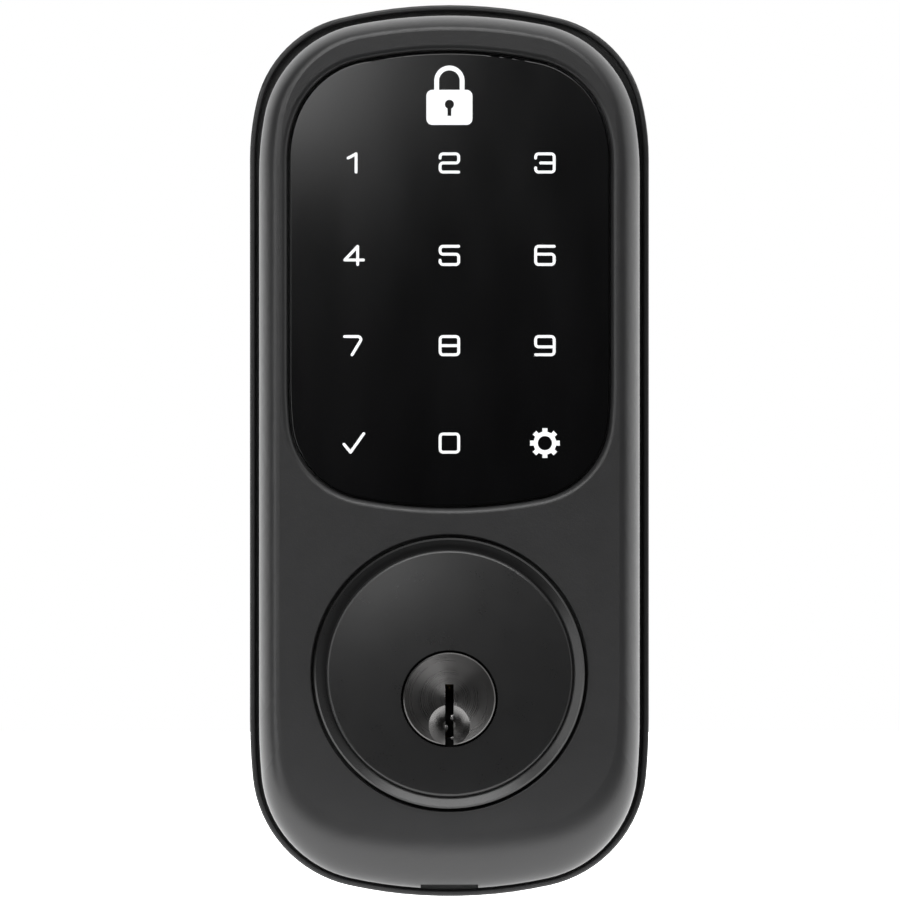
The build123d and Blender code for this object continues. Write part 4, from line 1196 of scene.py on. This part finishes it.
@dataclass
class Studio:
    """Camera, backdrop and soft lights."""

    frame_height: float = 148.86 * MM
    centre: Triple = (0.0001, -0.006, 0.041)
    distance: float = 5.0
    sensor: float = 36.0
    floor_z: float = -0.0332
    floor_front: float = 0.045
    left_flag: float = 0.8
    low_flag: float = 0.5
    dim_to_bright: tuple[float, ...] = (-0.8, 0.05, 0.015, 1.5)
    floor_half: float = 1.5
    cards: tuple[Card, ...] = (
        Card("window_card", (-0.30, -1.2, 0.45), (0.0, 0.0, 0.06), (0.40, 0.40), 3.2),
        Card("top_card", (0.0, -0.85, 0.85), (0.0, 0.0, 0.04), (1.0, 0.45), 8.0),
        Card("side_card", (-0.6, -0.62, 0.08), (0.0, 0.0, 0.04), (0.3, 0.8), 2.0),
        Card("strip_card", (0.42, -1.15, 0.6), (0.0, 0.0, 0.0), (0.06, 0.3), 0.8),
    )

    def camera(self) -> None:
        """Places the camera square to the front, far away."""
        data = bpy.data.cameras.new("camera")
        data.sensor_width = self.sensor
        data.lens = self.sensor * self.distance / self.frame_height
        data.clip_end = 10 * self.distance
        eye = bpy.data.objects.new("camera", data)
        eye.location = (self.centre[0], self.centre[1] - self.distance, self.centre[2])
        eye.rotation_euler = (math.radians(90), 0.0, 0.0)
        bpy.context.collection.objects.link(eye)
        bpy.context.scene.camera = eye

    def light(self, card: Card) -> None:
        """Hangs one light card.

        Args:
            card: the card.
        """
        data = bpy.data.lights.new(card.name, "AREA")
        data.shape = "RECTANGLE"
        data.size, data.size_y = card.size
        data.energy = card.watts
        lamp = bpy.data.objects.new(card.name, data)
        lamp.location = card.place
        way = Vector(card.aim) - Vector(card.place)
        lamp.rotation_euler = way.to_track_quat("-Z", "Y").to_euler()
        lamp.visible_camera = False
        bpy.context.collection.objects.link(lamp)

    def surround(self) -> None:
        """Lights the room: white behind and beside the lock, dim in front of it."""
        world = bpy.data.worlds.new("studio")
        world.use_nodes = True
        bpy.context.scene.world = world
        nodes, links = world.node_tree.nodes, world.node_tree.links
        way = nodes.new("ShaderNodeTexCoord").outputs["Generated"]
        parts = nodes.new("ShaderNodeSeparateXYZ")
        links.new(way, parts.inputs[0])
        shade = parts.outputs["Y"]
        for axis, share in (("X", self.left_flag), ("Z", self.low_flag)):
            below = nodes.new("ShaderNodeMath")
            below.operation = "MINIMUM"
            links.new(parts.outputs[axis], below.inputs[0])
            below.inputs[1].default_value = 0.0
            total = nodes.new("ShaderNodeMath")
            total.operation = "MULTIPLY_ADD"
            links.new(below.outputs[0], total.inputs[0])
            total.inputs[1].default_value = share
            links.new(shade, total.inputs[2])
            shade = total.outputs[0]
        behind = nodes.new("ShaderNodeMapRange")
        behind.interpolation_type = "SMOOTHSTEP"
        links.new(shade, behind.inputs["Value"])
        for socket, value in zip(("From Min", "From Max", "To Min", "To Max"), self.dim_to_bright):
            behind.inputs[socket].default_value = value
        seen = nodes.new("ShaderNodeLightPath").outputs["Is Camera Ray"]
        level = nodes.new("ShaderNodeMix")
        level.data_type = "FLOAT"
        links.new(seen, level.inputs[0])
        links.new(behind.outputs[0], level.inputs[2])
        level.inputs[3].default_value = 1.0
        links.new(level.outputs[0], nodes["Background"].inputs["Strength"])
        nodes["Background"].inputs["Color"].default_value = (1.0, 1.0, 1.0, 1.0)

    def floor(self) -> None:
        """Lays a pale floor under the lock."""
        shape = bmesh.new()
        bmesh.ops.create_grid(shape, x_segments=8, y_segments=8, size=self.floor_half)
        back = self.floor_half - self.floor_front
        bmesh.ops.translate(shape, verts=shape.verts, vec=(0.0, back, self.floor_z))
        mesh = bpy.data.meshes.new("floor")
        shape.to_mesh(mesh)
        shape.free()
        slab = bpy.data.objects.new("floor", mesh)
        tree = Tree("pale_floor")
        cloud = tree.noise(3.0, 2.0)
        tree.set(
            Base_Color=tree.blend(tree.spread(cloud, 0.0, 1.0), (0.93,) * 3, (0.96,) * 3),
            Roughness=tree.spread(cloud, 0.75, 0.85),
            Emission_Color=(1.0, 1.0, 1.0),
            Emission_Strength=1.5,
        )
        mesh.materials.append(tree.material)
        bpy.context.collection.objects.link(slab)

    def build(self) -> None:
        """Builds the camera, the room and the lights."""
        self.camera()
        self.surround()
        self.floor()
        for card in self.cards:
            self.light(card)
        bpy.context.scene.view_settings.view_transform = "Standard"


def main() -> None:
    """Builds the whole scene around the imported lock."""
    logging.basicConfig(level=logging.INFO, format="%(name)s: %(message)s")
    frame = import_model()
    nodes, finishes = frame["nodes"], Finishes()
    groups = (
        OutdoorCasing,
        KeypadGlass,
        CircuitBoards,
        DoorCable,
        LockCylinder,
        IndoorFrame,
        GearTrain,
        BatteryPack,
        IndoorCasing,
    )
    dressed = set().union(*(group(nodes, finishes).build() for group in groups))
    if set(nodes) - dressed:
        raise ValueError(f"no finish for {sorted(set(nodes) - dressed)}")
    Studio().build()


if __name__ == "__main__":
    main()
